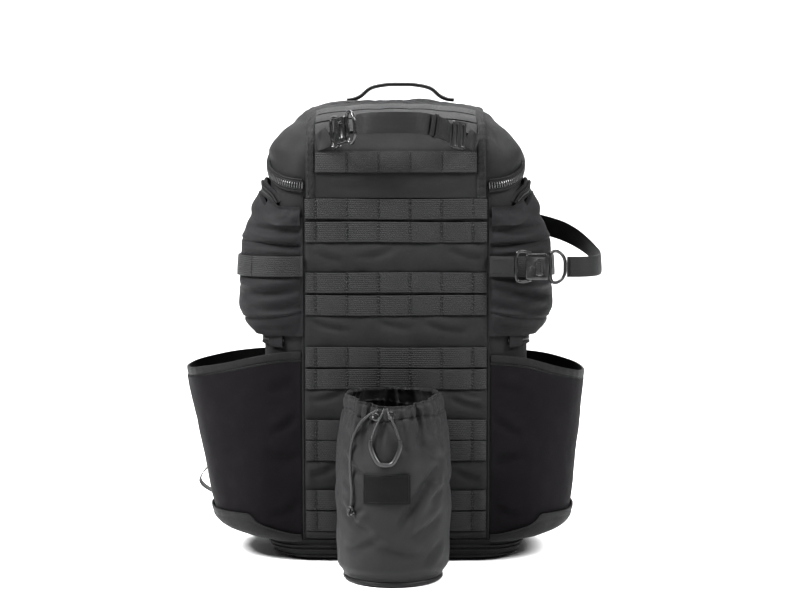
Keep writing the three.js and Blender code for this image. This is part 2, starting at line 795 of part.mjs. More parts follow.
function addPocket(pocket) {
  const flip = pocket.side < 0 ? mirrored : (geometry) => geometry;
  const rim = rimHeight(pocket);
  const cloth = pocketSheet(pocket, (u) => rim(u) - POCKET.rimBand - 3 * GAP);
  addPiece(
    `side_pocket_${pocket.name}`,
    flip(layerOn(cloth, -POCKET.wall, POCKET.wall, 12, 8)),
    STRETCH,
  );
  const whole = pocketSheet(pocket, rim);
  const bandFrom = (u) =>
    1 - ((1 - POCKET.foot) * POCKET.rimBand) / (rim(u) - POCKET.low - POCKET.roll);
  const band = (u, v) => whole(u, lerp(bandFrom(u), 1, v));
  addPiece(
    `pocket_rim_${pocket.name}`,
    flip(layerOn(band, 0.6 - POCKET.rimWall, POCKET.rimWall, 12, 1)),
    WEB,
  );
  const bootTop = (u) => lerp(BOOT.low, BOOT.high, smooth(0, 0.45, u));
  const boot = (u, v) => cloth(u, lerp(0.01, bootTop(u), v));
  addPiece(
    `pocket_boot_${pocket.name}`,
    flip(layerOn(boot, BOOT.standoff, BOOT.thickness, 12, 4)),
    FABRIC,
  );
}

const cupBack = -(BODY.front + onPanel + WEBBING.thickness + 2 * GAP + CUP_TAB.thickness);
const cupCentreY = cupBack - CUP.radius;

function cupRing(share, inset) {
  const sides = CUP.folds * 3;
  const radius = CUP.radius * tableValue(CUP_SECTIONS, "radius", share);
  const gather = tableValue(CUP_SECTIONS, "gather", share);
  return Array.from({ length: sides }, (_, i) => {
    const angle = (2 * Math.PI * i) / sides - Math.PI / 2;
    const r = radius * (1 + gather * Math.cos(angle * CUP.folds)) - inset;
    const dip = CUP_MOUTH_DIP * smooth(0.75, 1, share) * Math.max(0, -Math.sin(angle)) ** 2;
    return new THREE.Vector3(
      CUP.centreX + r * Math.cos(angle),
      cupCentreY + r * Math.sin(angle),
      share * CUP.height - dip,
    );
  });
}

function cupFront(x, z, off) {
  const share = z / CUP.height;
  const radius = CUP.radius * tableValue(CUP_SECTIONS, "radius", share) + off;
  const dx = x - CUP.centreX;
  return new THREE.Vector3(x, cupCentreY - Math.sqrt(radius ** 2 - dx ** 2), z);
}

function addCup() {
  const shares = CUP_SECTIONS.map(({ at }) => at);
  const floor = CUP.base + GAP;
  const rings = [
    cupRing(shares[0], 0).map((p) => p.setZ(floor)),
    ...shares.slice(1).map((share) => cupRing(share, 0)),
    ...[1, 0.88, 0.55, 0.1].map((share) => cupRing(share, CUP.wall)),
    cupRing(shares[0], CUP.wall).map((p) => p.setZ(floor + CUP.wall)),
  ];
  addPiece("cup", skinRings(rings), CUP_CLOTH);

  const baseRing = (share, z) => {
    const centre = new THREE.Vector3(CUP.centreX, cupCentreY, z);
    return cupRing(shares[0], 0)
      .map((p) => p.setZ(z).lerp(centre, 1 - share));
  };
  const base = skinRings([baseRing(0.93, 0), baseRing(1.01, 2), baseRing(1.01, CUP.base)]);
  addPiece("cup_base", base, FABRIC);

  const tab = roundedPlate({
    left: CUP.centreX - CUP_TAB.width / 2,
    right: CUP.centreX + CUP_TAB.width / 2,
    low: CUP_TAB.low,
    high: CUP_TAB.high,
    corner: 3,
    near: cupBack + GAP,
    far: cupBack + GAP + CUP_TAB.thickness,
  });
  addPiece("cup_tab", tab, WEB);

  const patch = (off) => (u, v) =>
    cupFront(
      PATCH.centreX + lerp(-1, 1, u) * PATCH.halfWidth,
      lerp(PATCH.low, PATCH.high, v),
      off,
    );
  const label = wallBetween(patch(3 * GAP), patch(3 * GAP + PATCH.thickness), 8, 1);
  addPiece("cup_patch", label, FABRIC);
}

// The drawcord's doubled tail lies down the cup's front and ends in a knot, and a short loop
// of cord carries the hook. Points are chosen by hand: x, stand-off from the cup, height.
const DRAWCORD_ROUTE = [
  [-18.5, 3.4, 187], [-22, 3.5, 185], [-25.5, 3.4, 183], [-29.5, 3.2, 180], [-33.5, 3, 176.5],
  [-37.5, 2.8, 171.5], [-41, 2.7, 165], [-43.8, 2.6, 158], [-45.8, 2.6, 150], [-47, 2.6, 141],
  [-47.4, 2.6, 132], [-47.2, 2.7, 123], [-46.4, 2.8, 114], [-45.6, 3, 106], [-45.4, 3.2, 99],
  [-45.8, 3.6, 92], [-46.6, 4.2, 86],
];
const HOOK_CORD_ROUTE = [
  [-11.6, 4.4, 189], [-13.6, 4.4, 184], [-16.8, 4, 178], [-20, 3.6, 171], [-22.8, 3.4, 163.5],
  [-24.8, 3.4, 157.5], [-25, 3.4, 151],
];
const HOOK = { top: 158.5, bottom: 131.5, halfWidth: 15, centreX: -10.5, wire: 2.4 };

function addCupCords() {
  const onCup = (route) =>
    route.map(([x, off, z]) => {
      const p = cupFront(x, z, off);
      return [p.x, p.y, p.z];
    });
  const tail = smoothCurve(onCup(DRAWCORD_ROUTE), 18);
  addPiece("drawcord", tube(tail, DRAWCORD_RADIUS, 8), WEB);
  const knotAt = tail[tail.length - 1].clone();
  const knot = new THREE.SphereGeometry(4, 8, 5)
    .scale(0.9, 0.75, 1.25)
    .translate(knotAt.x, knotAt.y, knotAt.z - 5 - GAP);
  addPiece("drawcord_knot", knot, WEB);

  const left = smoothCurve(onCup(HOOK_CORD_ROUTE.slice(0, -1)), 6);
  const right = smoothCurve(
    onCup(HOOK_CORD_ROUTE.slice(0, -1).map(([x, off, z]) => [2 * HOOK.centreX - x, off, z])),
    6,
  );
  addPiece("hook_cord", tube([...left.reverse(), ...right], HOOK_CORD_RADIUS, 8), WEB);

  const hookPoint = (x, z) => {
    const p = cupFront(HOOK.centreX + x, z, 3.4);
    return [p.x, p.y, p.z];
  };
  const w = HOOK.halfWidth;
  const rim = smoothCurve(
    [
      hookPoint(-w, HOOK.top - 2), hookPoint(-w, HOOK.top - 9), hookPoint(-w * 0.72, HOOK.bottom + 7),
      hookPoint(-w * 0.42, HOOK.bottom + 1), hookPoint(0, HOOK.bottom), hookPoint(w * 0.42, HOOK.bottom + 1),
      hookPoint(w * 0.72, HOOK.bottom + 7), hookPoint(w, HOOK.top - 9), hookPoint(w, HOOK.top - 2),
    ],
    14,
  );
  addPiece("cup_hook", tube(rim, HOOK.wire, 5), PLASTIC);
}

// A buckle in its own frame: the strap runs along +X, the plate faces -Y.
function addBuckle(name, place) {
  const group = new THREE.Group();
  const half = BUCKLE.plateWidth / 2;
  const plate = roundedPlate({
    left: 0,
    right: BUCKLE.plateLength,
    low: -half,
    high: half,
    corner: 3,
    near: -BUCKLE.plateThickness / 2,
    far: BUCKLE.plateThickness / 2,
  });
  const reach = half + BUCKLE.wire;
  const far = BUCKLE.barReach;
  const barLoop = smoothCurve(
    [
      [6, 0, reach - 2], [-3, 0, reach], [1.5 - far, 0, reach - 1], [-far, 0, reach - 5],
      [-far, 0, 0],
      [-far, 0, 5 - reach], [1.5 - far, 0, 1 - reach], [-3, 0, -reach], [6, 0, 2 - reach],
    ],
    14,
  );
  const body = join(plate, tube(barLoop, BUCKLE.wire, 4));
  addPiece(`${name}_plate`, body, METAL, group);

  const start = BUCKLE.ringStart;
  const end = BUCKLE.ringEnd;
  const outer = BUCKLE.ringWidth / 2 - BUCKLE.wire;
  const ringLoop = smoothCurve(
    [
      [start, 0, 0], [start, 0, outer - 5], [start + 2, 0, outer - 1], [start + 6, 0, outer],
      [end - 4, 0, outer - 3], [end - 0.5, 0, outer - 9], [end, 0, 0], [end - 0.5, 0, 9 - outer],
      [end - 4, 0, 3 - outer], [start + 6, 0, -outer], [start + 2, 0, 1 - outer],
      [start, 0, 5 - outer],
    ],
    18,
    true,
  );
  addPiece(`${name}_ring`, tube(ringLoop, BUCKLE.wire, 4, true), METAL, group);
  place(group);
  backpack.add(group);
}

// A ladder lock in its own frame: a plate in XZ with two slots, for a strap that runs along X.
function ladderLock() {
  const { length, width, thickness, slot, slotWidth } = LADDER;
  const plate = roundedPlate({
    left: -length / 2,
    right: length / 2,
    low: -width / 2,
    high: width / 2,
    corner: 3,
    near: -thickness / 2,
    far: thickness / 2,
  });
  const hole = (centre) =>
    new THREE.BoxGeometry(slot, 2 * thickness, slotWidth).translate(centre, 0, 0);
  return cut(plate, hole(-length / 4), hole(length / 4));
}

// The strap on the right runs from the front seam, out round the pocket's mouth and back to the
// rear corner. Its buckle stands beyond the shell's front corner.
const SIDE_STRAP = {
  height: atShare(0.6426),
  reach: 82,
  rise: 42,
  rootInset: 2.6,
  rootOff: 7,
  buckleInset: 3.4,
  buckleOff: 16.5,
};
// Its route seen from above: how far it stands out from the shell's side as a share of its reach,
// its depth from -1, the shell's front, to 1, its back, and its climb as a share of its rise.
const SIDE_STRAP_ROUTE = [
  { out: 0.684, depth: -1.14, climb: 0 },
  { out: 0.843, depth: -1.059, climb: 0 },
  { out: 0.952, depth: -0.917, climb: 0.012 },
  { out: 1.007, depth: -0.741, climb: 0.06 },
  { out: 1.001, depth: -0.537, climb: 0.155 },
  { out: 0.916, depth: -0.312, climb: 0.357 },
  { out: 0.77, depth: -0.098, climb: 0.595 },
  { out: 0.587, depth: 0.119, climb: 0.786 },
  { out: 0.391, depth: 0.381, climb: 0.905 },
  { out: 0.221, depth: 0.595, climb: 0.976 },
  { out: 0.099, depth: 0.774, climb: 1 },
  { out: 0.02, depth: 0.868, climb: 1 },
  { out: -0.026, depth: 0.93, climb: 1 },
  { out: -0.15, depth: 0.973, climb: 1 },
];

function addSideStrap() {
  const { height, reach, rise } = SIDE_STRAP;
  const shell = sectionAt(height);
  const buckle = new THREE.Vector3(
    shell.halfWidth - SIDE_STRAP.buckleInset,
    -shell.front - SIDE_STRAP.buckleOff,
    height,
  );
  addBuckle("side_buckle", (group) => group.position.copy(buckle));

  // The tab runs from the seam beside the panel to the buckle's bar.
  const seam = frontPoint(PANEL.halfWidth + SIDE_STRAP.rootInset, height);
  const root = [seam.x, seam.y - SIDE_STRAP.rootOff, height];
  const barX = buckle.x - BUCKLE.barReach - BUCKLE.wire - GAP;
  const tip = [barX, buckle.y + 1, height];
  const middle = [lerp(root[0], tip[0], 0.25), lerp(root[1], tip[1], 0.25) - 0.6, height];
  addPiece(
    "side_strap_tab",
    ribbon(
      smoothCurve([root, middle, tip], 8),
      () => new THREE.Vector3(0, -1, 0),
      WEBBING.width,
      WEBBING.thickness,
    ),
    WEB,
  );

  const ringX = buckle.x + BUCKLE.ringEnd + BUCKLE.wire + GAP;
  const route = SIDE_STRAP_ROUTE.map(({ out, depth, climb }) => [
    shell.halfWidth + out * reach,
    depth * (depth < 0 ? shell.front : shell.back),
    height + climb * rise,
  ]);
  const strap = smoothCurve([[ringX, buckle.y + 0.4, height], ...route], 26);
  const facingOut = (p) =>
    new THREE.Vector3(p.x - shell.halfWidth + 14, p.y + 20, 0);
  addPiece("side_strap", ribbon(strap, facingOut, WEBBING.width, WEBBING.thickness), WEB);
}

// The strap over the lid's front stands off in a bow. Its parts take their places from the two
// roots of its tabs: towards the middle, out to the front, and up.
const TOP_STRAP = { tabHeight: atShare(0.9082), rootShare: 0.985, turn: -1.05, lift: 0.15 };
const TAB_TIP_LEFT = { side: -1, inward: 14.8, out: 16.9, up: 8.7 };
const TAB_TIP_RIGHT = { side: 1, inward: 9.7, out: 12.2, up: 6.7 };
const TOP_BUCKLE = { side: -1, inward: 22.2, out: 29.6, up: 11.7 };
const TOP_LOCK = { side: 1, inward: 19.7, out: 24.1, up: 8.7 };
const TOP_STRAP_ROUTE = [
  { side: -1, inward: 45.5, out: 70.2, up: 18.9 },
  { side: -1, inward: 56.7, out: 79.1, up: 20.5 },
  { side: -1, inward: 76.7, out: 83.6, up: 21.4 },
  { side: 1, inward: 76.7, out: 83.6, up: 21.4 },
  { side: 1, inward: 58.7, out: 77.6, up: 20.7 },
  { side: 1, inward: 44.7, out: 63.6, up: 17.7 },
  { side: 1, inward: 34.7, out: 47.6, up: 14.2 },
  { side: 1, inward: 28.3, out: 33.8, up: 10.9 },
];

function addTopStrap() {
  const seam = lidPoint(TOP_STRAP.rootShare, TOP_STRAP.tabHeight, LID_ROW_HALF);
  const placed = ({ side, inward, out, up }) => [
    side * (seam.x - inward),
    seam.y - out,
    seam.z + up,
  ];
  const front = new THREE.Vector3(0, -1, 0.3);
  const tab = (end) => {
    const root = placed({ side: end.side, inward: 0, out: onLidPanel + 3, up: 1 });
    const tip = placed(end);
    const middle = [lerp(root[0], tip[0], 0.4), lerp(root[1], tip[1], 0.4) - 1, root[2] + 2];
    return ribbon(
      smoothCurve([root, middle, tip], 6),
      () => front,
      WEBBING.width - 2,
      WEBBING.thickness,
    );
  };
  addPiece("strap_tab_left", tab(TAB_TIP_LEFT), WEB);
  addPiece("strap_tab_right", tab(TAB_TIP_RIGHT), WEB);
  addBuckle("top_buckle", (group) => {
    group.position.set(...placed(TOP_BUCKLE));
    group.rotation.set(0, -TOP_STRAP.lift, TOP_STRAP.turn, "ZYX");
  });
  const lock = addPiece("top_ladder_lock", ladderLock(), PLASTIC);
  lock.position.set(...placed(TOP_LOCK));
  lock.rotation.set(0, 0.1, 0.87, "ZYX");
  const bow = smoothCurve(TOP_STRAP_ROUTE.map(placed), 17);
  const outwards = (p) => new THREE.Vector3(p.x, p.y + 95, 0);
  addPiece("top_strap", ribbon(bow, outwards, WEBBING.width, WEBBING.thickness), WEB);
}

// The height of the lid's top above a point.
function lidHeight(x, y) {
  let [low, high] = [SEAM.low, BODY.height];
  for (let i = 0; i < 40; i += 1) {
    const z = (low + high) / 2;
    const s = sectionAt(z);
    const corner = y < 0 ? s.frontCorner : s.backCorner;
    const dx = Math.abs(x) - (s.halfWidth - corner);
    const dy = (y < 0 ? -y - s.front : y - s.back) + corner;
    const inside = dx > 0 && dy > 0 ? Math.hypot(dx, dy) < corner : Math.max(dx, dy) < corner;
    if (inside) low = z;
    else high = z;
  }
  return low;
}

function addHandle() {
  const { centreX, halfSpan, rise, width, thickness, depth, settle } = HANDLE;
  const crest = lidHeight(0, depth - width / 2) + GAP + thickness / 2 - settle;
  const route = [
    [-1.24, -0.05], [-1.08, 0], [-0.92, 0.2], [-0.7, 0.72], [-0.36, 0.96], [0, 1], [0.36, 0.96],
    [0.7, 0.72], [0.92, 0.2], [1.08, 0], [1.24, -0.05],
  ].map(([across, up]) => [centreX + across * halfSpan, depth, crest + up * rise]);
  const up = (_, __, tangent) => new THREE.Vector3(-tangent.z, 0, tangent.x);
  const strip = ribbon(smoothCurve(route, 20), up, width, thickness);
  addPiece("top_handle", strip, WEB);
}

// The harness: distance from the middle, stand-off from the shell's back, and height as a share
// of the bag's. The right-hand shoulder pad runs from where it is sewn on to its lower end.
const SHOULDER_ROUTE = [
  { x: 48, off: 14.8, at: 0.7773 },
  { x: 48, off: 15, at: 0.8242 },
  { x: 49, off: 22, at: 0.8633 },
  { x: 52, off: 41, at: 0.877 },
  { x: 57, off: 57, at: 0.8359 },
  { x: 66, off: 66, at: 0.7188 },
  { x: 80, off: 66, at: 0.6055 },
  { x: 92, off: 60, at: 0.498 },
  { x: 100, off: 50, at: 0.4004 },
  { x: 104, off: 40, at: 0.3379 },
];
const LOWER_WEBBING_RIGHT = [
  { x: 108, off: 34, at: 0.2383 },
  { x: 112, off: 25, at: 0.1719 },
  { x: 111, off: 13, at: 0.1094 },
  { x: 108, off: 9.6, at: 0.0703 },
];
// The left-hand one hangs slack and bows out past the side pocket.
const LOWER_WEBBING_LEFT = [
  { x: 115, off: 38, at: 0.252 },
  { x: 148, off: 34, at: 0.2148 },
  { x: 188, off: 25, at: 0.1758 },
  { x: 211, off: 19, at: 0.1445 },
  { x: 217, off: 15, at: 0.1133 },
  { x: 206, off: 12, at: 0.0898 },
  { x: 176, off: 10, at: 0.0801 },
  { x: 140, off: 9.6, at: 0.0781 },
  { x: 108, off: 9.6, at: 0.0781 },
];
// The ladder lock hangs below the pad's end, and the webbing starts below the lock.
const HARNESS_LOCK = { beside: 1, nearer: 1.8, below: 1.7, tilt: 0.2 };

function addHarness() {
  const behind = BODY.back + GAP;
  const panel = roundedPlate({
    left: -BACK_PANEL.halfWidth,
    right: BACK_PANEL.halfWidth,
    low: BACK_PANEL.low,
    high: BACK_PANEL.high,
    corner: BACK_PANEL.corner,
    near: behind,
    far: behind + BACK_PANEL.thickness,
  });
  addPiece("back_panel", panel, FABRIC);

  const padFrom = behind + BACK_PANEL.thickness + GAP;
  const at = (u, v) => [
    lerp(1, -1, u) * BACK_PAD.halfWidth,
    lerp(BACK_PAD.low, BACK_PAD.high, v),
  ];
  const rim = (s) => smooth(0, 0.1, s) * smooth(0, 0.1, 1 - s);
  const inner = (u, v) => {
    const [x, z] = at(u, v);
    return new THREE.Vector3(x, padFrom, z);
  };
  const outer = (u, v) => {
    const [x, z] = at(u, v);
    const aside = smooth(BACK_PAD.channel, 2.6 * BACK_PAD.channel, Math.abs(x));
    const thickness = BACK_PAD.edge + BACK_PAD.loft * rim(u) * rim(v) * aside;
    return new THREE.Vector3(x, padFrom + thickness, z);
  };
  addPiece("back_pad", wallBetween(inner, outer, 14, 7), FABRIC);

  const placed = ({ x, off, at: share }) => [x, BODY.back + off, atShare(share)];
  const pad = ribbon(
    smoothCurve(SHOULDER_ROUTE.map(placed), 16),
    (_, __, tangent) => new THREE.Vector3(0, tangent.z, -tangent.y),
    SHOULDER.width,
    SHOULDER.thickness,
    PADDED,
  );
  addPiece("shoulder_pad_right", pad, FABRIC);
  addPiece("shoulder_pad_left", mirrored(pad), FABRIC);
  const end = new THREE.Vector3(...placed(SHOULDER_ROUTE[SHOULDER_ROUTE.length - 1]));
  const lockCentre = end.add(
    new THREE.Vector3(
      HARNESS_LOCK.beside,
      -HARNESS_LOCK.nearer,
      -HARNESS_LOCK.below - LADDER.length / 2,
    ),
  );
  const rear = () => new THREE.Vector3(0, 1, 0);
  const lower = (route, below, steps) => {
    const start = [lockCentre.x + 0.5, lockCentre.y - 1, lockCentre.z - LADDER.length / 2 - below];
    const points = smoothCurve([start, ...route.map(placed)], steps);
    return ribbon(points, rear, WEBBING.width, WEBBING.thickness);
  };
  addPiece("shoulder_webbing_right", lower(LOWER_WEBBING_RIGHT, 2, 8), WEB);
  addPiece("shoulder_webbing_left", mirrored(lower(LOWER_WEBBING_LEFT, 6, 20)), WEB);
  for (const [name, side] of [["right", 1], ["left", -1]]) {
    const lock = addPiece(`ladder_lock_${name}`, ladderLock(), PLASTIC);
    lock.position.set(side * lockCentre.x, lockCentre.y, lockCentre.z);
    lock.rotation.set(HARNESS_LOCK.tilt, Math.PI / 2, 0, "XYZ");
  }
}

addShell();
addLidZipper();
addFrontPanel();
addLidPanel();
addDoor("right", (geometry) => geometry);
addDoor("left", mirrored);
addPocket(POCKET_LEFT);
addPocket(POCKET_RIGHT);
addCup();
addCupCords();
addSideStrap();
addTopStrap();
addHandle();
addHarness();

export default backpack;
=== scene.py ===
import logging
import math
from collections.abc import Callable, Sequence
from dataclasses import dataclass, field
from enum import Enum
from functools import lru_cache

import bpy
import numpy as np
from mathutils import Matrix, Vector, noise


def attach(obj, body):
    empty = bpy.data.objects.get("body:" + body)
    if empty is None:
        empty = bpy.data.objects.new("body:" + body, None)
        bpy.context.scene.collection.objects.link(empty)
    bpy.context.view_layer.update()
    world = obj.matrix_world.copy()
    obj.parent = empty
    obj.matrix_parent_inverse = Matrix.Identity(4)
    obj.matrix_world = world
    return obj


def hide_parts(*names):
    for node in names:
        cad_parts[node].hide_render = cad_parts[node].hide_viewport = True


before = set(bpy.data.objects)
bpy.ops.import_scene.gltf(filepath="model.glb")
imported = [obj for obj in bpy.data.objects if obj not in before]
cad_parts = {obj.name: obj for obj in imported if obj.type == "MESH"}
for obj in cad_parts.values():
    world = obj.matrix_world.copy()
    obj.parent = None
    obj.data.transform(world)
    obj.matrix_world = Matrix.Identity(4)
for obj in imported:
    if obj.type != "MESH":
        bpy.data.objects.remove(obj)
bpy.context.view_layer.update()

LOG = logging.getLogger("backpack")
MM = 0.001
ROOT = "root"
GAP = 0.3
QUARTER = math.pi / 2

Array = np.ndarray
Number = float | Array


class Slot(Enum):
    """The record's material slots."""

    SHELL = "shell_cloth"
    WEBBING = "webbing"
    ZIP = "zip_tape"
    STRETCH = "stretch_cloth"
    CUP = "cup_cloth"
    LABEL = "label_cloth"
    PADDING = "padding_cloth"
    CORD = "cord"
    PLASTIC = "plastic"
    METAL = "dark_metal"


class Side(Enum):
    """Left and right of someone who faces the webbing."""

    LEFT = -1
    RIGHT = 1

    @property
    def word(self) -> str:
        """The side's name in lower case."""
        return self.name.lower()


# ---- sums ----------------------------------------------------------------------------


def lerp(a: Number, b: Number, s: Number) -> Number:
    """The value a share s of the way from a to b."""
    return a + (b - a) * s


def smooth(start: float, end: float, x: Number) -> Array:
    """A soft step from 0 at start to 1 at end."""
    s = np.clip((np.asarray(x, float) - start) / (end - start), 0, 1)
    return s * s * (3 - 2 * s)


def hem_in(width: float, *shares: Array) -> Array:
    """1 inside, and softly 0 where a share comes within a width of 0 or 1."""
    return math.prod(smooth(0, width, s) * smooth(0, width, 1 - s) for s in shares)


def bump(centre: float, width: float, x: Number) -> Array:
    """A soft hill, 1 at its centre and near 0 beyond its width."""
    return np.exp(-(((np.asarray(x, float) - centre) / width) ** 2))


def stacked(*columns: Number) -> Array:
    """Numbers put together as points, with x, y and z last."""
    return np.stack(np.broadcast_arrays(*columns), axis=-1).astype(float)


def circle(count: int) -> Array:
    """Even angles once round, in radians."""
    return np.linspace(0, 2 * math.pi, count, endpoint=False)


def table_value(rows: Array, column: int, at: Number) -> Array:
    """Reads a column of a table at a share between its rows, without overshoot.

    Args:
        rows: the table, whose first column is the share.
        column: the column to read.
        at: the shares at which it is read.

    Returns:
        The value at each share.
    """
    xs, ys = rows[:, 0], rows[:, column]
    slope = np.diff(ys) / np.diff(xs)
    before, after = slope[:-1], slope[1:]
    same = before * after > 0
    total = np.where(same, before + after, 1)
    tangent = np.concatenate(
        ([slope[0]], np.where(same, 2 * before * after / total, 0), [slope[-1]]))
    at = np.clip(np.asarray(at, float), xs[0], xs[-1])
    i = np.clip(np.searchsorted(xs, at, side="right") - 1, 0, len(xs) - 2)
    step = xs[i + 1] - xs[i]
    s = (at - xs[i]) / step
    rise = s * s * (3 - 2 * s)
    bend = tangent[i] * s * (1 - s) ** 2 - tangent[i + 1] * s * s * (1 - s)
    return ys[i] * (1 - rise) + ys[i + 1] * rise + step * bend


def ripple(points: Array, size: float, seed: float) -> Array:
    """Smooth unevenness from -1 to 1 over points in millimetres.

    Args:
        points: places, with x, y and z last.
        size: how far apart its hills are, in millimetres.
        seed: a fixed shift that makes each use its own.

    Returns:
        One value for each point.
    """
    values = [noise.noise(Vector(p)) for p in points.reshape(-1, 3) / size + seed]
    return np.array(values).reshape(points.shape[:-1]) * 1.7


def creases(x: Array, z: Array, folds: Sequence[tuple[float, ...]]) -> Array:
    """Adds up folds of cloth, each a valley with a softer ridge on its upper side.

    Args:
        x: places across, in millimetres.
        z: places upwards, in millimetres.
        folds: for each, the x and z of its two ends, its width and its depth.

    Returns:
        The height of the cloth, below 0 in the valleys.
    """
    height = np.zeros(np.broadcast(x, z).shape)
    for x0, z0, x1, z1, width, depth in folds:
        length = math.hypot(x1 - x0, z1 - z0)
        ux, uz = (x1 - x0) / length, (z1 - z0) / length
        along = ((x - x0) * ux + (z - z0) * uz) / length
        bend = 0.05 * length * np.sin(np.pi * np.clip(along, 0, 1))
        away = -(x - x0) * uz + (z - z0) * ux + bend
        ends = smooth(-0.12, 0.3, along) * (1 - smooth(0.65, 1.12, along))
        ridge = bump(1.9 * width, 1.4 * width, away)
        height += ends * depth * (0.62 * ridge - bump(0, width, away))
    return height


# ---- the shell's form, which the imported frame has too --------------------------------

# Share of the height; half width, front and back as shares of the shell's own.
SHELL_SECTIONS = np.array([
    (0, 0.88, 0.82, 0.9), (0.014, 0.94, 0.9, 0.965), (0.05, 0.985, 0.95, 1), (0.16, 1, 0.975, 1),
    (0.4, 1, 1, 1), (0.65, 0.985, 0.995, 1), (0.79, 0.955, 0.975, 1), (0.845, 0.952, 0.96, 1),
    (0.885, 0.962, 0.925, 0.99), (0.902, 0.932, 0.875, 0.985), (0.921, 0.877, 0.81, 0.975),
    (0.943, 0.805, 0.7, 0.95), (0.96, 0.76, 0.5, 0.92), (0.973, 0.72, 0.29, 0.87),
    (0.985, 0.61, 0.05, 0.78), (0.992, 0.52, -0.03, 0.7), (1, 0.3, -0.12, 0.5),
])
# Share of the depth from the front; share of the seam's rise.
SEAM_LINE = np.array([
    (0, 0), (0.06, 0.09), (0.15, 0.3), (0.25, 0.53), (0.44, 0.72), (0.7, 0.87), (1, 1),
], float)


@dataclass(frozen=True)
class ShellForm:
    """The padded shell's outline at each height, in millimetres."""

    height: float = 512.0
    half_width: float = 146.0
    front: float = 103.0
    back: float = 84.0
    front_corner: float = 44.0
    back_corner: float = 26.0
    crown: float = 4.0
    seam_low: float = 414.5
    seam_rise: float = 39.0

    def section(self, z: Number, out: Number = 0.0) -> tuple[Array, ...]:
        """Measures the outline at heights.

        Args:
            z: the heights.
            out: how far the outline is grown outwards.

        Returns:
            The half width, front, back and the front and back corners' radii.
        """
        at = np.asarray(z, float) / self.height
        wide, front, back = (full * table_value(SHELL_SECTIONS, k, at) for k, full in enumerate(
            (self.half_width, self.front, self.back), 1))
        room = 0.48 * np.minimum(front + back, 2 * wide)
        corners = (np.maximum(2, np.minimum(r, room) + out)
                   for r in (self.front_corner, self.back_corner))
        return wide + out, front + out, back + out, *corners

    def point(self, zone: Number, z: Number, out: Number = 0.0) -> Array:
        """Places points on the outline.

        Args:
            zone: 0 to 1 along the front, to 2 round the corner, to 3 along the side, to 4
                round the back corner, to 5 along the back, then mirrored to 10.
            z: the heights.
            out: how far off the shell they are.

        Returns:
            The points, with x, y and z last.
        """
        zone, z, out = (np.asarray(v, float) for v in np.broadcast_arrays(zone, z, out))
        flipped = zone > 5
        t = np.where(flipped, 10 - zone, zone)
        wide, front, back, near, far = self.section(z, out)
        turn, rear = (t - 1) * QUARTER, (t - 3) * QUARTER
        spans = [t <= k for k in (1, 2, 3, 4)]
        x = np.select(spans, [
            t * (wide - near), wide - near * (1 - np.sin(turn)), wide,
            wide - far * (1 - np.cos(rear))], (5 - t) * (wide - far))
        y = np.select(spans, [
            -front, -front + near * (1 - np.cos(turn)), lerp(-front + near, back - far, t - 2),
            back - far * (1 - np.sin(rear))], back)
        y = y + self.crown * (x / wide) ** 2 * np.maximum(0, -y / self.front)
        return stacked(np.where(flipped, -x, x), y, z)

    def seam(self, y: Number) -> Array:
        """The height of the seam between tub and lid at a depth."""
        share = (y + self.front) / (self.front + self.back)
        return self.seam_low + self.seam_rise * table_value(SEAM_LINE, 1, share)

    def slanted(self, zone: Array, over: float, out: Number = 0.0) -> Array:
        """Places points over the seam line at each point's own depth.

        Args:
            zone: their zones.
            over: their height over the seam.
            out: how far off the shell they are.

        Returns:
            The points.
        """
        point = self.point(zone, self.seam(0.0) + over, out)
        for _ in range(6):
            point = self.point(zone, self.seam(point[..., 1]) + over, out)
        return point

    def zone_at(self, x: Number, z: Number) -> Array:
        """Finds the zone on the front or its corner that lies a distance from the middle.

        Args:
            x: the distances.
            z: the heights.

        Returns:
            The zone at each.
        """
        wide, _, _, near, _ = self.section(z)
        straight = wide - near
        bent = 1 + np.arcsin(np.clip((x - straight) / near, 0, 1)) / QUARTER
        return np.where(x <= straight, x / straight, bent)

    def face(self, x: Number, z: Number, out: Number = 0.0) -> Array:
        """Places points on the front face, off it along its own normal.

        Args:
            x: the distances from the middle.
            z: the heights.
            out: how far off the face they are.

        Returns:
            The points.
        """
        x, z = (np.asarray(v, float) for v in np.broadcast_arrays(x, z))

        def base(dx: float, dz: float) -> Array:
            """The face a step away."""
            y = self.point(self.zone_at(np.abs(x + dx), z + dz), z + dz)[..., 1]
            return stacked(x + dx, y, z + dz)

        normal = np.cross(base(0.5, 0) - base(-0.5, 0), base(0, 0.5) - base(0, -0.5))
        normal /= np.linalg.norm(normal, axis=-1, keepdims=True)
        return base(0, 0) + normal * np.asarray(out, float)[..., None]


SHELL = ShellForm()


# ---- meshes --------------------------------------------------------------------------


def unit(v: Array) -> Array:
    """Vectors made one long."""
    return v / np.maximum(np.linalg.norm(v, axis=-1, keepdims=True), 1e-9)


def run_along(line: Array) -> Array:
    """How far along a line each of its points lies."""
    return np.concatenate([[0], np.cumsum(np.linalg.norm(np.diff(line, axis=0), axis=1))])


def sheet_normals(grid: Array, wrap: bool = False) -> Array:
    """The normals of a grid of points, each the cross product of its two directions."""
    across = directions(grid.swapaxes(0, 1), wrap).swapaxes(0, 1)
    return unit(np.cross(across, np.gradient(grid, axis=0)))


def outward_normals(grid: Array) -> Array:
    """The normals of a grid that looks towards positive x."""
    normals = sheet_normals(grid)
    return normals if np.sum(normals[..., 0]) > 0 else -normals


def linked(name: str, data: bpy.types.ID | None) -> bpy.types.Object:
    """Makes an object and links it into the scene.

    Args:
        name: its name.
        data: its data.

    Returns:
        The object.
    """
    made = bpy.data.objects.new(name, data)
    bpy.context.scene.collection.objects.link(made)
    return made


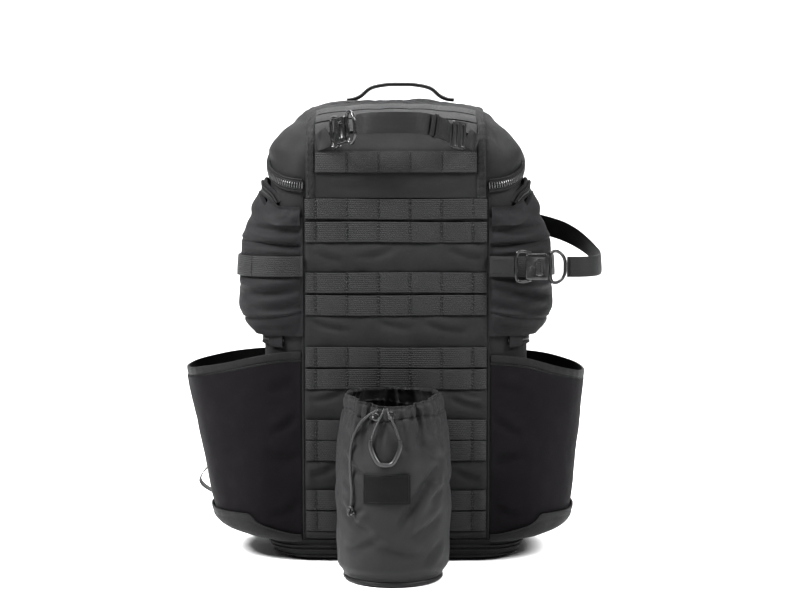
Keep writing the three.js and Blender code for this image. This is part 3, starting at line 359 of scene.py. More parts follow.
def make_mesh(
    name: str, points: Array, faces: Sequence[Sequence[int]], uvs: Sequence | None = None,
    sharp: float = 40.0,
) -> bpy.types.Object:
    """Makes a smooth-shaded mesh object at the origin.

    Args:
        name: the piece's name.
        points: its points, in millimetres.
        faces: its faces as lists of point numbers, facing outwards.
        uvs: for each face, a list of one place in millimetres for each of its corners.
        sharp: the angle in degrees past which an edge stays sharp.

    Returns:
        The new object, linked into the scene.
    """
    mesh = bpy.data.meshes.new(name)
    mesh.from_pydata((np.asarray(points, float) * MM).tolist(), [], [list(f) for f in faces])
    if uvs is not None:
        flat = np.concatenate([np.asarray(f, float).reshape(-1, 2) for f in uvs]) * MM
        mesh.uv_layers.new(name="cloth").data.foreach_set("uv", flat.ravel())
    mesh.polygons.foreach_set("use_smooth", [True] * len(mesh.polygons))
    mesh.set_sharp_from_angle(angle=math.radians(sharp))
    mesh.update()
    return linked(name, mesh)


def turned_out(points: Array, faces: list, uvs: list) -> tuple[list, list]:
    """Turns the faces of a closed mesh over where their volume comes out negative.

    Args:
        points: its points.
        faces: its faces as lists of point numbers.
        uvs: the places of their corners.

    Returns:
        The faces and the places, turned over or as they were.
    """
    fans = [(f[0], f[k], f[k + 1]) for f in faces for k in range(1, len(f) - 1)]
    a, b, c = (np.asarray(points, float)[column] for column in np.array(fans).T)
    if float(np.sum(a * np.cross(b, c))) >= 0:
        return faces, uvs
    return [f[::-1] for f in faces], [u[::-1] for u in uvs]


# For each side of a square: the neighbour there, and where its edge starts and ends.
SQUARE_SIDES = (
    ((0, -1), (0, 0), (1, 0)), ((0, 1), (1, 1), (0, 1)),
    ((-1, 0), (0, 1), (0, 0)), ((1, 0), (1, 0), (1, 1)),
)


def wall(
    name: str, outer: Array, inner: Array, wrap: bool = False,
    hole: Callable[[int, int], bool] | None = None, sharp: float = 40.0,
) -> bpy.types.Object:
    """Makes a closed wall between two grids of points.

    Args:
        name: the piece's name.
        outer: the outer points, as rows of columns.
        inner: the inner points, in the same order.
        wrap: whether the last column joins the first.
        hole: says for a row and column whether that square is left out, or None.
        sharp: the angle in degrees past which an edge stays sharp.

    Returns:
        The new object.
    """
    rows, cols = outer.shape[:2]
    points = np.concatenate([outer.reshape(-1, 3), inner.reshape(-1, 3)])
    middle = outer[rows // 2]
    along = run_along(np.concatenate([middle, middle[:1]]) if wrap else middle)
    up = run_along(outer[:, cols // 2])
    spans = cols if wrap else cols - 1
    kept = [(j, i) for j in range(rows - 1) for i in range(spans) if not (hole and hole(j, i))]
    present = set(kept)
    faces, uvs = [], []

    def add(*corners: tuple[int, int, int]) -> None:
        """Adds a face by its corners."""
        faces.append([layer * rows * cols + j * cols + i % cols for layer, j, i in corners])
        uvs.append([(along[i], up[j] + 2 * layer) for layer, j, i in corners])

    for j, i in kept:
        add((0, j, i), (0, j, i + 1), (0, j + 1, i + 1), (0, j + 1, i))
        add((1, j, i), (1, j + 1, i), (1, j + 1, i + 1), (1, j, i + 1))
        for (dj, di), (aj, ai), (bj, bi) in SQUARE_SIDES:
            if (j + dj, (i + di) % spans if wrap else i + di) not in present:
                add((0, j + aj, i + ai), (0, j + bj, i + bi),
                    (1, j + bj, i + bi), (1, j + aj, i + ai))
    faces, uvs = turned_out(points, faces, uvs)
    used = np.unique(np.concatenate([np.asarray(f) for f in faces]))
    number = np.full(len(points), -1)
    number[used] = np.arange(len(used))
    return make_mesh(name, points[used], [number[f] for f in faces], uvs, sharp)


def skin(name: str, rings: Array, closed: bool = False,
         shares: Array | None = None) -> bpy.types.Object:
    """Makes a closed skin over a row of rings, with flat ends unless the row is a loop.

    Args:
        name: the piece's name.
        rings: the rings' points, one ring after another.
        closed: whether the last ring joins the first.
        shares: how far round each point of a ring lies, in millimetres, for the pattern.

    Returns:
        The new object.
    """
    count, sides = rings.shape[:2]
    middle = rings.mean(axis=1)
    along = run_along(middle)
    along = np.append(along, along[-1] + float(np.mean(np.diff(along))))
    around = (run_along(np.concatenate([rings[0], rings[0][:1]])) if shares is None
              else np.append(shares, shares[0]))
    faces, uvs = [], []
    for r in range(count if closed else count - 1):
        n = (r + 1) % count
        for i in range(sides):
            k = (i + 1) % sides
            faces.append([r * sides + i, r * sides + k, n * sides + k, n * sides + i])
            uvs.append([(along[r], around[i]), (along[r], around[i + 1]),
                        (along[r + 1], around[i + 1]), (along[r + 1], around[i])])
    points = rings.reshape(-1, 3)
    if not closed:
        for hub, (end, turn) in enumerate(((0, -1), (count - 1, 1)), len(points)):
            for i in range(sides):
                faces.append([hub, *[end * sides + i, end * sides + (i + 1) % sides][::turn]])
                uvs.append([(along[end], 0), (along[end], 0.5), (along[end], 1)])
        points = np.concatenate([points, middle[[0, -1]]])
    return make_mesh(name, points, *turned_out(points, faces, uvs))


def spline(corners: Sequence[Sequence[float]], steps: int, closed: bool = False) -> Array:
    """Points on a smooth curve through corners, which doesn't overshoot.

    Args:
        corners: the points it passes through.
        steps: the steps from each corner to the next.
        closed: whether it is a loop.

    Returns:
        The points.
    """
    p = np.asarray(corners, float)
    before, after = ((p[-1:], p[:2]) if closed
                     else (2 * p[:1] - p[1:2], 2 * p[-1:] - p[-2:-1]))
    p = np.concatenate([before, p, after])
    s = np.linspace(0, 1, steps, endpoint=False)[:, None]
    fine = []
    for a, b, c, d in zip(p[:-3], p[1:-2], p[2:-1], p[3:]):
        t1, t2, t3 = (max(float(np.linalg.norm(v)), 1e-6) ** 0.5 for v in (b - a, c - b, d - c))
        m1 = ((b - a) / t1 - (c - a) / (t1 + t2) + (c - b) / t2) * t2
        m2 = ((c - b) / t2 - (d - b) / (t2 + t3) + (d - c) / t3) * t2
        fine.append(b * (2 * s**3 - 3 * s**2 + 1) + m1 * (s**3 - 2 * s**2 + s)
                    + c * (3 * s**2 - 2 * s**3) + m2 * (s**3 - s**2))
    return np.concatenate([*fine, p[-2:-1]])


def curve_points(corners: Sequence[Sequence[float]], steps: int, closed: bool = False) -> Array:
    """Evenly spaced points on a smooth curve through corners.

    Args:
        corners: the points it passes through.
        steps: the number of steps along it.
        closed: whether it is a loop.

    Returns:
        The points, one more than the steps unless it is a loop.
    """
    line = spline(corners, 24, closed)
    length = run_along(line)
    wanted = np.linspace(0, length[-1], steps + 1)
    spaced = np.stack([np.interp(wanted, length, column) for column in line.T], axis=1)
    return spaced[:-1] if closed else spaced


def directions(points: Array, closed: bool = False) -> Array:
    """Finds the way that a row of points, or of lines of points, runs at each of them.

    Args:
        points: the row.
        closed: whether it is a loop.

    Returns:
        The ways, one long.
    """
    if closed:
        return unit(np.roll(points, -1, axis=0) - np.roll(points, 1, axis=0))
    return unit(np.gradient(points, axis=0))


def strap_rings(points: Array, facing: Array, width: Number, thick: Number,
                edge: float = 0.5, detail: int = 8) -> tuple[Array, Array]:
    """The cross sections of a flat strap with rounded edges.

    Args:
        points: its middle line.
        facing: the way its flat face looks at each point.
        width: its width, one value or one for each point.
        thick: its thickness, the same.
        edge: the share of its half thickness that the flat faces keep at their edges.
        detail: the number of steps across one face.

    Returns:
        The rings, and how far across each point of a ring lies.
    """
    run = directions(points)
    out = unit(facing - np.sum(facing * run, axis=1, keepdims=True) * run)
    across = np.cross(run, out)
    s = np.linspace(-1, 1, detail + 1)
    rim = np.where(np.abs(s) > 0.999, 0.35, lerp(
        np.sqrt(np.clip(1 - np.abs(s) ** 6, 0, 1)), 1, edge))
    half, deep = (np.broadcast_to(np.asarray(v, float) / 2, len(points)) for v in (width, thick))
    profile = np.concatenate([np.stack([s, rim], 1), np.stack([s[::-1], -rim[::-1]], 1)])
    rings = np.stack([points + across * (a * half)[:, None] + out * (h * deep)[:, None]
                      for a, h in profile], axis=1)
    return rings, profile[:, 0] * float(half[0])


def tube_rings(points: Array, radius: Number, sides: int, closed: bool = False) -> Array:
    """The rings of a round cord along points, without twist.

    Args:
        points: its middle line.
        radius: its radius, one value or one for each point.
        sides: the points of each ring.
        closed: whether it is a loop.

    Returns:
        The rings' points.
    """
    facing = np.array([0.3, -1.0, 0.2])
    radii = np.broadcast_to(np.asarray(radius, float), len(points))
    cos, sin = np.cos(circle(sides))[:, None], np.sin(circle(sides))[:, None]
    rings = []
    for point, way, r in zip(points, directions(points, closed), radii):
        facing = unit(facing - np.dot(facing, way) * way)
        rings.append(point + r * (cos * facing + sin * np.cross(way, facing)))
    return np.array(rings)


def coordinates(mesh: bpy.types.Mesh) -> Array:
    """Reads the places of a mesh's points.

    Args:
        mesh: the mesh.

    Returns:
        The places, in metres.
    """
    co = np.empty(len(mesh.vertices) * 3)
    mesh.vertices.foreach_get("co", co)
    return co.reshape(-1, 3)


def plate(
    name: str, half_length: float, half_width: float, half_thick: float, corner: float,
    bevel: float, holes: Sequence[tuple[float, float, float, float]] = (),
) -> bpy.types.Object:
    """Makes a plate with rounded corners and edges in the XZ plane, with slots through it.

    Args:
        name: the piece's name.
        half_length: half its size along X.
        half_width: half its size along Z.
        half_thick: half its size along Y.
        corner: its corners' radius.
        bevel: its edges' radius.
        holes: for each slot, its middle's X and Z and its half sizes.

    Returns:
        The new object, with its bevel applied.
    """
    curve = bpy.data.curves.new(name, "CURVE")
    curve.dimensions = "2D"
    curve.fill_mode = "BOTH"
    curve.extrude = (half_thick - bevel) * MM
    curve.bevel_depth = bevel * MM
    curve.bevel_resolution = 2
    curve.offset = -bevel * MM
    outlines = [(0.0, 0.0, half_length, half_width, corner)]
    outlines += [(x, z, a, b, min(a, b) * 0.45) for x, z, a, b in holes]
    for x, z, a, b, r in outlines:
        path = curve.splines.new("POLY")
        corners = [
            (x + sx * (a - r) + r * math.cos(t), z + sz * (b - r) + r * math.sin(t))
            for k, (sx, sz) in enumerate(((1, 1), (-1, 1), (-1, -1), (1, -1)))
            for t in np.linspace(0, QUARTER, 5) + k * QUARTER]
        path.points.add(len(corners) - 1)
        path.points.foreach_set(
            "co", np.array([(px * MM, pz * MM, 0, 1) for px, pz in corners]).ravel())
        path.use_cyclic_u = True
    holder = linked(name + ".curve", curve)
    graph = bpy.context.evaluated_depsgraph_get()
    mesh = bpy.data.meshes.new_from_object(holder.evaluated_get(graph))
    bpy.data.objects.remove(holder)
    bpy.data.curves.remove(curve)
    places = coordinates(mesh)[:, [0, 2, 1]] / MM
    faces = [list(p.vertices)[::-1] for p in mesh.polygons]
    bpy.data.meshes.remove(mesh)
    return make_mesh(name, *merged(places, faces), sharp=35.0)


def merged(points: Array, faces: list) -> tuple[Array, list]:
    """Joins points that lie on each other.

    Args:
        points: the points, in millimetres.
        faces: the faces as lists of point numbers.

    Returns:
        The points that are left and the faces by their new numbers.
    """
    keys, number = np.unique(np.round(points, 4), axis=0, return_inverse=True)
    number = number.ravel()
    renamed = ([int(number[i]) for i in f] for f in faces)
    kept = ([a for a, b in zip(ids, ids[1:] + ids[:1]) if a != b] for ids in renamed)
    return keys, [ids for ids in kept if len(ids) > 2]


def placed(piece: bpy.types.Object, turn: Array, at: Sequence[float]) -> bpy.types.Object:
    """Turns and moves a piece's own points, so that its object stays at the origin.

    Args:
        piece: the piece.
        turn: a rotation matrix of three rows.
        at: where its own origin goes, in millimetres.

    Returns:
        The piece.
    """
    moved = coordinates(piece.data) @ np.asarray(turn).T + np.asarray(at, float) * MM
    piece.data.vertices.foreach_set("co", moved.ravel())
    piece.data.update()
    return piece


def rotation(x: float = 0.0, y: float = 0.0, z: float = 0.0, order: str = "ZYX") -> Array:
    """Makes a rotation matrix.

    Args:
        x: the angle about X, in radians.
        y: the angle about Y.
        z: the angle about Z.
        order: the letters in the order in which their matrices are multiplied.

    Returns:
        The matrix.
    """
    ca, sa = math.cos, math.sin
    parts = {
        "X": np.array([[1, 0, 0], [0, ca(x), -sa(x)], [0, sa(x), ca(x)]]),
        "Y": np.array([[ca(y), 0, sa(y)], [0, 1, 0], [-sa(y), 0, ca(y)]]),
        "Z": np.array([[ca(z), -sa(z), 0], [sa(z), ca(z), 0], [0, 0, 1]]),
    }
    return parts[order[0]] @ parts[order[1]] @ parts[order[2]]


def mirrored(points: Array, side: Side) -> Array:
    """Points made for the right, put on the side that is asked for."""
    return points * np.array([side.value, 1, 1])


# ---- finishes ------------------------------------------------------------------------


class Weave(Enum):
    """How a cloth is made."""

    PLAIN = "plain"
    RIBBED = "ribbed"
    KNIT = "knit"
    BRAID = "braid"


class NodeSketch:
    """Short ways to add and join the nodes of one tree."""

    def __init__(self, tree: bpy.types.NodeTree) -> None:
        """Keeps the tree that is built."""
        self.tree = tree

    def add(self, kind: str, inputs: dict | None = None, **settings: object) -> bpy.types.Node:
        """Adds a node, and sets its properties and its inputs.

        Args:
            kind: the node's type.
            inputs: values or sockets, by the input's name or number.
            settings: its properties.

        Returns:
            The node.
        """
        node = self.tree.nodes.new(kind)
        for key, value in settings.items():
            setattr(node, key, value)
        for key, value in (inputs or {}).items():
            self.feed(node.inputs[key], value)
        return node

    def feed(self, socket: bpy.types.NodeSocket, value: object) -> None:
        """Sets a socket to a value, or links it where the value is another socket.

        Args:
            socket: the socket.
            value: the value or the other socket.
        """
        if isinstance(value, bpy.types.NodeSocket):
            self.tree.links.new(value, socket)
        else:
            socket.default_value = value

    def math(self, operation: str, *values: object) -> bpy.types.NodeSocket:
        """The result of a sum of numbers and sockets."""
        return self.add("ShaderNodeMath", dict(enumerate(values)), operation=operation).outputs[0]

    def triple(self, x: object, y: object, z: object) -> bpy.types.NodeSocket:
        """Three numbers put together as a vector."""
        return self.add("ShaderNodeCombineXYZ", {"X": x, "Y": y, "Z": z}).outputs[0]

    def noise(self, place: object, scale: object, detail: float,
              roughness: float = 0.5) -> bpy.types.NodeSocket:
        """Adds a noise texture.

        Args:
            place: where it is read.
            scale: its scale.
            detail: its octaves.
            roughness: how strong the finer ones are.

        Returns:
            Its value.
        """
        return self.add("ShaderNodeTexNoise", {
            "Vector": place, "Scale": scale, "Detail": detail, "Roughness": roughness,
        }).outputs["Fac"]

    def ramp(self, value: object, low: float, high: float) -> bpy.types.NodeSocket:
        """0 where the value is at low, to 1 where it is at high."""
        return self.add("ShaderNodeMapRange", {"Value": value, 1: low, 2: high}).outputs[0]

    def blend(self, share: object, a: object, b: object) -> bpy.types.NodeSocket:
        """The colour a share of the way from a to b, and past b beyond 1."""
        return self.add("ShaderNodeMix", {0: share, 6: a, 7: b}, data_type="RGBA",
                        clamp_factor=False).outputs[2]

    def bumps(self, height: object, strength: float, depth: float,
              **under: object) -> bpy.types.NodeSocket:
        """Adds bumps.

        Args:
            height: their height.
            strength: how strong they are.
            depth: their depth in metres.
            under: the normal below them, if there is one.

        Returns:
            The normal.
        """
        return self.add("ShaderNodeBump", {
            "Height": height, "Strength": strength, "Distance": depth, **under,
        }).outputs["Normal"]


def new_group(name: str, takes: dict[str, tuple[str, float | None]],
              gives: Sequence[str]) -> tuple:
    """Starts a shader node group with named sockets.

    Args:
        name: the group's name.
        takes: for each input, its kind, Float or Vector, and its usual value.
        gives: the names of its outputs, which are all numbers.

    Returns:
        A sketch of its tree, its inputs' sockets and its output node's sockets.
    """
    tree = bpy.data.node_groups.new(name, "ShaderNodeTree")
    for label, (kind, usual) in takes.items():
        socket = tree.interface.new_socket(
            label, in_out="INPUT", socket_type="NodeSocket" + kind)
        if usual is not None:
            socket.default_value = usual
    for label in gives:
        tree.interface.new_socket(label, in_out="OUTPUT", socket_type="NodeSocketFloat")
    sketch = NodeSketch(tree)
    return sketch, sketch.add("NodeGroupInput").outputs, sketch.add("NodeGroupOutput").inputs


@lru_cache(maxsize=None)
def thread_group(weave: Weave) -> bpy.types.NodeTree:
    """Builds the pattern of a cloth's threads.

    Args:
        weave: how the cloth is made.

    Returns:
        A group that takes a place on the cloth and the pitch of its threads, and gives the
        threads' height and the painted shade between them, where the colour darkens.
    """
    s, take, give = new_group(
        f"threads_{weave.value}",
        {"Vector": ("Vector", None), "Across": ("Float", 0.001), "Along": ("Float", 0.001),
         "Uneven": ("Float", 0.1)}, ("Height", "Shade"))

    def wave(turns: object) -> bpy.types.NodeSocket:
        """A wave's size."""
        return s.math("ABSOLUTE", s.math("SINE", turns))

    wobble = s.math("SUBTRACT", s.noise(take["Vector"], 260.0, 2.0), 0.5)
    shift = s.math("MULTIPLY", wobble, take["Uneven"])
    split = s.add("ShaderNodeSeparateXYZ", {"Vector": take["Vector"]}).outputs
    u, v = (s.math("ADD", s.math("DIVIDE", split[axis], take[pitch]), shift)
            for axis, pitch in (("X", "Along"), ("Y", "Across")))
    pi_u, pi_v = s.math("MULTIPLY", u, math.pi), s.math("MULTIPLY", v, math.pi)
    warp, weft = wave(pi_v), wave(pi_u)
    if weave is Weave.PLAIN:
        sign = s.math("MULTIPLY", s.math("SINE", pi_u), s.math("SINE", pi_v))
        ends = s.math("POWER", warp, 0.6), s.math("POWER", weft, 0.6)
        height = s.add("ShaderNodeMix", {
            0: s.math("GREATER_THAN", sign, 0.0), 2: ends[0], 3: ends[1],
        }, data_type="FLOAT").outputs[0]
    elif weave is Weave.RIBBED:
        row = s.math("MULTIPLY", s.math("FLOOR", v), math.pi)
        bead = s.math("SINE", s.math("ADD", s.math("MULTIPLY", pi_u, 2.0), row))
        height = s.math("MULTIPLY", s.math("POWER", warp, 0.45),
                        s.math("MULTIPLY_ADD", bead, 0.2, 0.8))
    elif weave is Weave.KNIT:
        slant = wave(s.math("ADD", pi_u, s.math("MULTIPLY", warp, 1.2)))
        height = s.math("MULTIPLY", s.math("POWER", warp, 0.5),
                        s.math("MULTIPLY_ADD", slant, 0.4, 0.6))
    else:
        pair = (wave(s.math(way, pi_u, pi_v)) for way in ("ADD", "SUBTRACT"))
        height = s.math("POWER", s.math("MULTIPLY", *pair), 0.5)
    s.feed(give["Height"], height)
    # Painted shade: the colour darkens where the threads dip, most on ribbed webbing.
    contrast = 0.9 if weave is Weave.RIBBED else 0.55
    s.feed(give["Shade"], s.math("MULTIPLY_ADD", height, contrast, 1.05 - contrast))
    return s.tree


@lru_cache(maxsize=None)
def wear_group() -> bpy.types.NodeTree:
    """Builds the slow unevenness that use leaves on cloth.

    Returns:
        A group that takes a place on the object, and gives a tone round 1, a rubbed mask and
        a mask of lint.
    """
    s, take, give = new_group(
        "wear_and_lint",
        {"Vector": ("Vector", None), "Mottle": ("Float", 0.1), "Lint": ("Float", 0.1)},
        ("Tone", "Rubbed", "Lint", "Height"))
    place = take["Vector"]
    large = s.noise(place, 14.0, 4.0, 0.6)
    small = s.math("SUBTRACT", s.noise(place, 420.0, 3.0, 0.7), 0.5)
    both = s.math("ADD", s.math("SUBTRACT", large, 0.5), s.math("MULTIPLY", small, 0.8))
    specks = s.add("ShaderNodeTexVoronoi", {"Vector": place, "Scale": 330.0, "Randomness": 1.0})
    spot = s.ramp(specks.outputs["Distance"], 0.1, 0.02)
    for label, value in (
        ("Tone", s.math("MULTIPLY_ADD", both, take["Mottle"], 1.0)),
        ("Rubbed", s.ramp(s.noise(place, 34.0, 5.0, 0.65), 0.5, 0.72)),
        ("Lint", s.math("MULTIPLY", spot, take["Lint"])), ("Height", large),
    ):
        s.feed(give[label], value)
    return s.tree


@lru_cache(maxsize=None)
def grain_group() -> bpy.types.NodeTree:
    """Builds the grain of moulded plastic and lighter patches, worn on metal and a painted
    highlight on plastic.

    Returns:
        A group that takes a place and the grain's scale, and gives its height, a mask of the
        lighter patches and a tone round 1.
    """
    s, take, give = new_group(
        "moulded_grain",
        {"Vector": ("Vector", None), "Grain": ("Float", 900.0), "Wear": ("Float", 0.4)},
        ("Height", "Rubbed", "Tone"))
    worn = s.noise(take["Vector"], 190.0, 6.0, 0.7)
    for label, value in (
        ("Height", s.noise(take["Vector"], take["Grain"], 3.0)),
        # This mask lays worn patches on metal and a painted highlight on plastic.
        ("Rubbed", s.math("MULTIPLY", s.ramp(worn, 0.56, 0.74), take["Wear"])),
        ("Tone", s.math("MULTIPLY_ADD", worn, 0.3, 0.85)),
    ):
        s.feed(give[label], value)
    return s.tree


Colour = tuple[float, float, float]
LINT = (0.32, 0.31, 0.3, 1)
SHEEN = (0.8, 0.8, 0.82, 1)


@dataclass(frozen=True)
class Cloth:
    """A woven or knitted finish. Pitches and depths are in millimetres."""

    name: str
    slot: Slot
    colour: Colour
    weave: Weave = Weave.PLAIN
    across: float = 0.9
    along: float = 0.9
    depth: float = 0.18
    roughness: float = 0.68
    sheen: float = 0.03
    mottle: float = 0.25
    lint: float = 0.12
    uneven: float = 0.12
    specular: float = 0.14

    def material(self) -> bpy.types.Material:
        """Builds the finish once, and returns the same material after that."""
        return cloth_material(self)


@dataclass(frozen=True)
class Hard:
    """A moulded or coated finish, with a fine grain and lighter patches: worn on metal, a painted
    highlight on plastic.
    """

    name: str
    slot: Slot
    colour: Colour
    # The lighter patches' colour: wear on metal, a painted highlight on plastic.
    rubbed: Colour
    roughness: float = 0.45
    metallic: float = 0.0
    grain: float = 900.0
    depth: float = 0.05
    wear: float = 0.4
    coat: float = 0.0

    def material(self) -> bpy.types.Material:
        """Builds the finish once, and returns the same material after that."""
        return hard_material(self)


def start_material(name: str) -> tuple[bpy.types.Material, NodeSketch, Callable]:
    """Starts a material.

    Args:
        name: its name.

    Returns:
        The material, a sketch of its tree, and a function that feeds an input of its shader.
    """
    material = bpy.data.materials.new(name)
    material.use_nodes = True
    s = NodeSketch(material.node_tree)
    shader = material.node_tree.nodes["Principled BSDF"].inputs

    def give(**values: object) -> None:
        """Feeds inputs of the shader."""
        for label, value in values.items():
            s.feed(shader[label.replace("_", " ")], value)

    return material, s, give


@lru_cache(maxsize=None)
def cloth_material(cloth: Cloth) -> bpy.types.Material:
    """Builds a cloth's material.

    Args:
        cloth: the finish.

    Returns:
        The material.
    """
    material, s, give = start_material(cloth.name)
    place = s.add("ShaderNodeTexCoord").outputs
    threads = s.add("ShaderNodeGroup", node_tree=thread_group(cloth.weave), inputs={
        "Vector": place["UV"], "Across": cloth.across * MM, "Along": cloth.along * MM,
        "Uneven": cloth.uneven}).outputs
    wear = s.add("ShaderNodeGroup", node_tree=wear_group(), inputs={
        "Vector": place["Object"], "Mottle": cloth.mottle, "Lint": cloth.lint}).outputs
    # The tone carries the painted shade between the threads, the slow mottle and the worn patches.
    tone = s.math("MULTIPLY", threads["Shade"], wear["Tone"])
    tone = s.math("MULTIPLY", tone, s.math("MULTIPLY_ADD", wear["Rubbed"], 0.12, 0.97))
    base = s.blend(tone, (0, 0, 0, 1), (*cloth.colour, 1))
    soft = s.bumps(wear["Height"], 0.35, 0.004)
    give(Base_Color=s.blend(wear["Lint"], base, LINT),
         Roughness=s.math("MULTIPLY_ADD", wear["Rubbed"], -0.1, cloth.roughness),
         Specular_IOR_Level=cloth.specular, Sheen_Weight=cloth.sheen, Sheen_Roughness=0.45,
         Sheen_Tint=SHEEN,
         Normal=s.bumps(threads["Height"], 0.8, cloth.depth * MM, Normal=soft))
    return material


@lru_cache(maxsize=None)
def hard_material(hard: Hard) -> bpy.types.Material:
    """Builds a moulded or coated material.

    Args:
        hard: the finish.

    Returns:
        The material.
    """
    material, s, give = start_material(hard.name)
    grain = s.add("ShaderNodeGroup", node_tree=grain_group(), inputs={
        "Vector": s.add("ShaderNodeTexCoord").outputs["Object"], "Grain": hard.grain,
        "Wear": hard.wear}).outputs
    # Lighter in random patches: wear on the metal, a painted highlight on the plastic.
    give(Base_Color=s.blend(grain["Rubbed"], (*hard.colour, 1), (*hard.rubbed, 1)),
         Roughness=s.math("MULTIPLY_ADD", grain["Tone"], 0.12, hard.roughness - 0.12),
         Metallic=hard.metallic, Coat_Weight=hard.coat, Coat_Roughness=0.2,
         Normal=s.bumps(grain["Height"], 0.5, hard.depth * MM))
    return material


SHELL_NYLON = Cloth("shell_nylon", Slot.SHELL, (0.0103, 0.0103, 0.0107))
DOOR_NYLON = Cloth("door_nylon", Slot.SHELL, (0.0083, 0.0079, 0.0088), mottle=0.3)
WEBBING = Cloth("ribbed_webbing", Slot.WEBBING, (0.0132, 0.0132, 0.0138), Weave.RIBBED, across=2.2,
                along=1.8, depth=0.8, roughness=0.5, mottle=0.15, uneven=0.04, specular=0.2)
STRAP = Cloth("smooth_webbing", Slot.WEBBING, (0.0083, 0.0083, 0.0088), Weave.RIBBED, across=1.3,
              along=1.2, depth=0.26, roughness=0.52, mottle=0.15, uneven=0.04, specular=0.2)
BINDING = Cloth("binding_tape", Slot.WEBBING, (0.0073, 0.0073, 0.0075), Weave.RIBBED, across=1.0,
                along=0.9, depth=0.2, roughness=0.6, mottle=0.15)
ZIP_TAPE = Cloth("zip_tape", Slot.ZIP, (0.0070, 0.0070, 0.0073), Weave.RIBBED, across=0.8,
                 along=0.7, depth=0.15, roughness=0.6, mottle=0.12)
STRETCH = Cloth("stretch_cloth", Slot.STRETCH, (0.0046, 0.0038, 0.0047), Weave.KNIT, across=0.55,
                along=0.7, depth=0.08, roughness=0.8, mottle=0.15, lint=0.06, specular=0.08)
CUP_NYLON = Cloth("cup_nylon", Slot.CUP, (0.0084, 0.0083, 0.0088), across=0.6, along=0.6,
                  depth=0.2, roughness=0.55, mottle=0.3, specular=0.2)
LABEL = Cloth("label_cloth", Slot.LABEL, (0.0027, 0.0027, 0.0030), across=0.5, along=0.5,
              depth=0.08, roughness=0.5, mottle=0.1, lint=0.03, specular=0.1)
PADDING = Cloth("padding_mesh", Slot.PADDING, (0.0090, 0.0090, 0.0092), Weave.KNIT, across=2.2,
                along=2.6, depth=0.6, roughness=0.85)
CORD = Cloth("braided_cord", Slot.CORD, (0.0040, 0.0040, 0.0043), Weave.BRAID, across=1.5,
             along=1.7, depth=0.3, roughness=0.38, mottle=0.1, specular=0.5)
THREAD = Cloth("sewing_thread", Slot.SHELL, (0.0025, 0.0025, 0.0027), Weave.BRAID, across=0.4,
               along=0.5, depth=0.1, roughness=0.35, mottle=0.1, lint=0.0, specular=0.25)
# Its second colour is a painted highlight, laid in random patches.
PLASTIC = Hard("moulded_plastic", Slot.PLASTIC, (0.009, 0.009, 0.0095), (0.035, 0.035, 0.035),
               roughness=0.36)
COIL = Hard("zip_coil", Slot.ZIP, (0.05, 0.05, 0.051), (0.16, 0.16, 0.16), roughness=0.3,
            wear=0.4)
METAL = Hard("coated_metal", Slot.METAL, (0.012, 0.012, 0.0125), (0.3, 0.29, 0.28), roughness=0.26,
             metallic=0.5, wear=0.3, grain=1500.0, coat=0.35)


# ---- what repeats along a line -------------------------------------------------------


class Repeat(Enum):
    """What a run repeats."""

    STITCH = "stitch"
    TOOTH = "tooth"


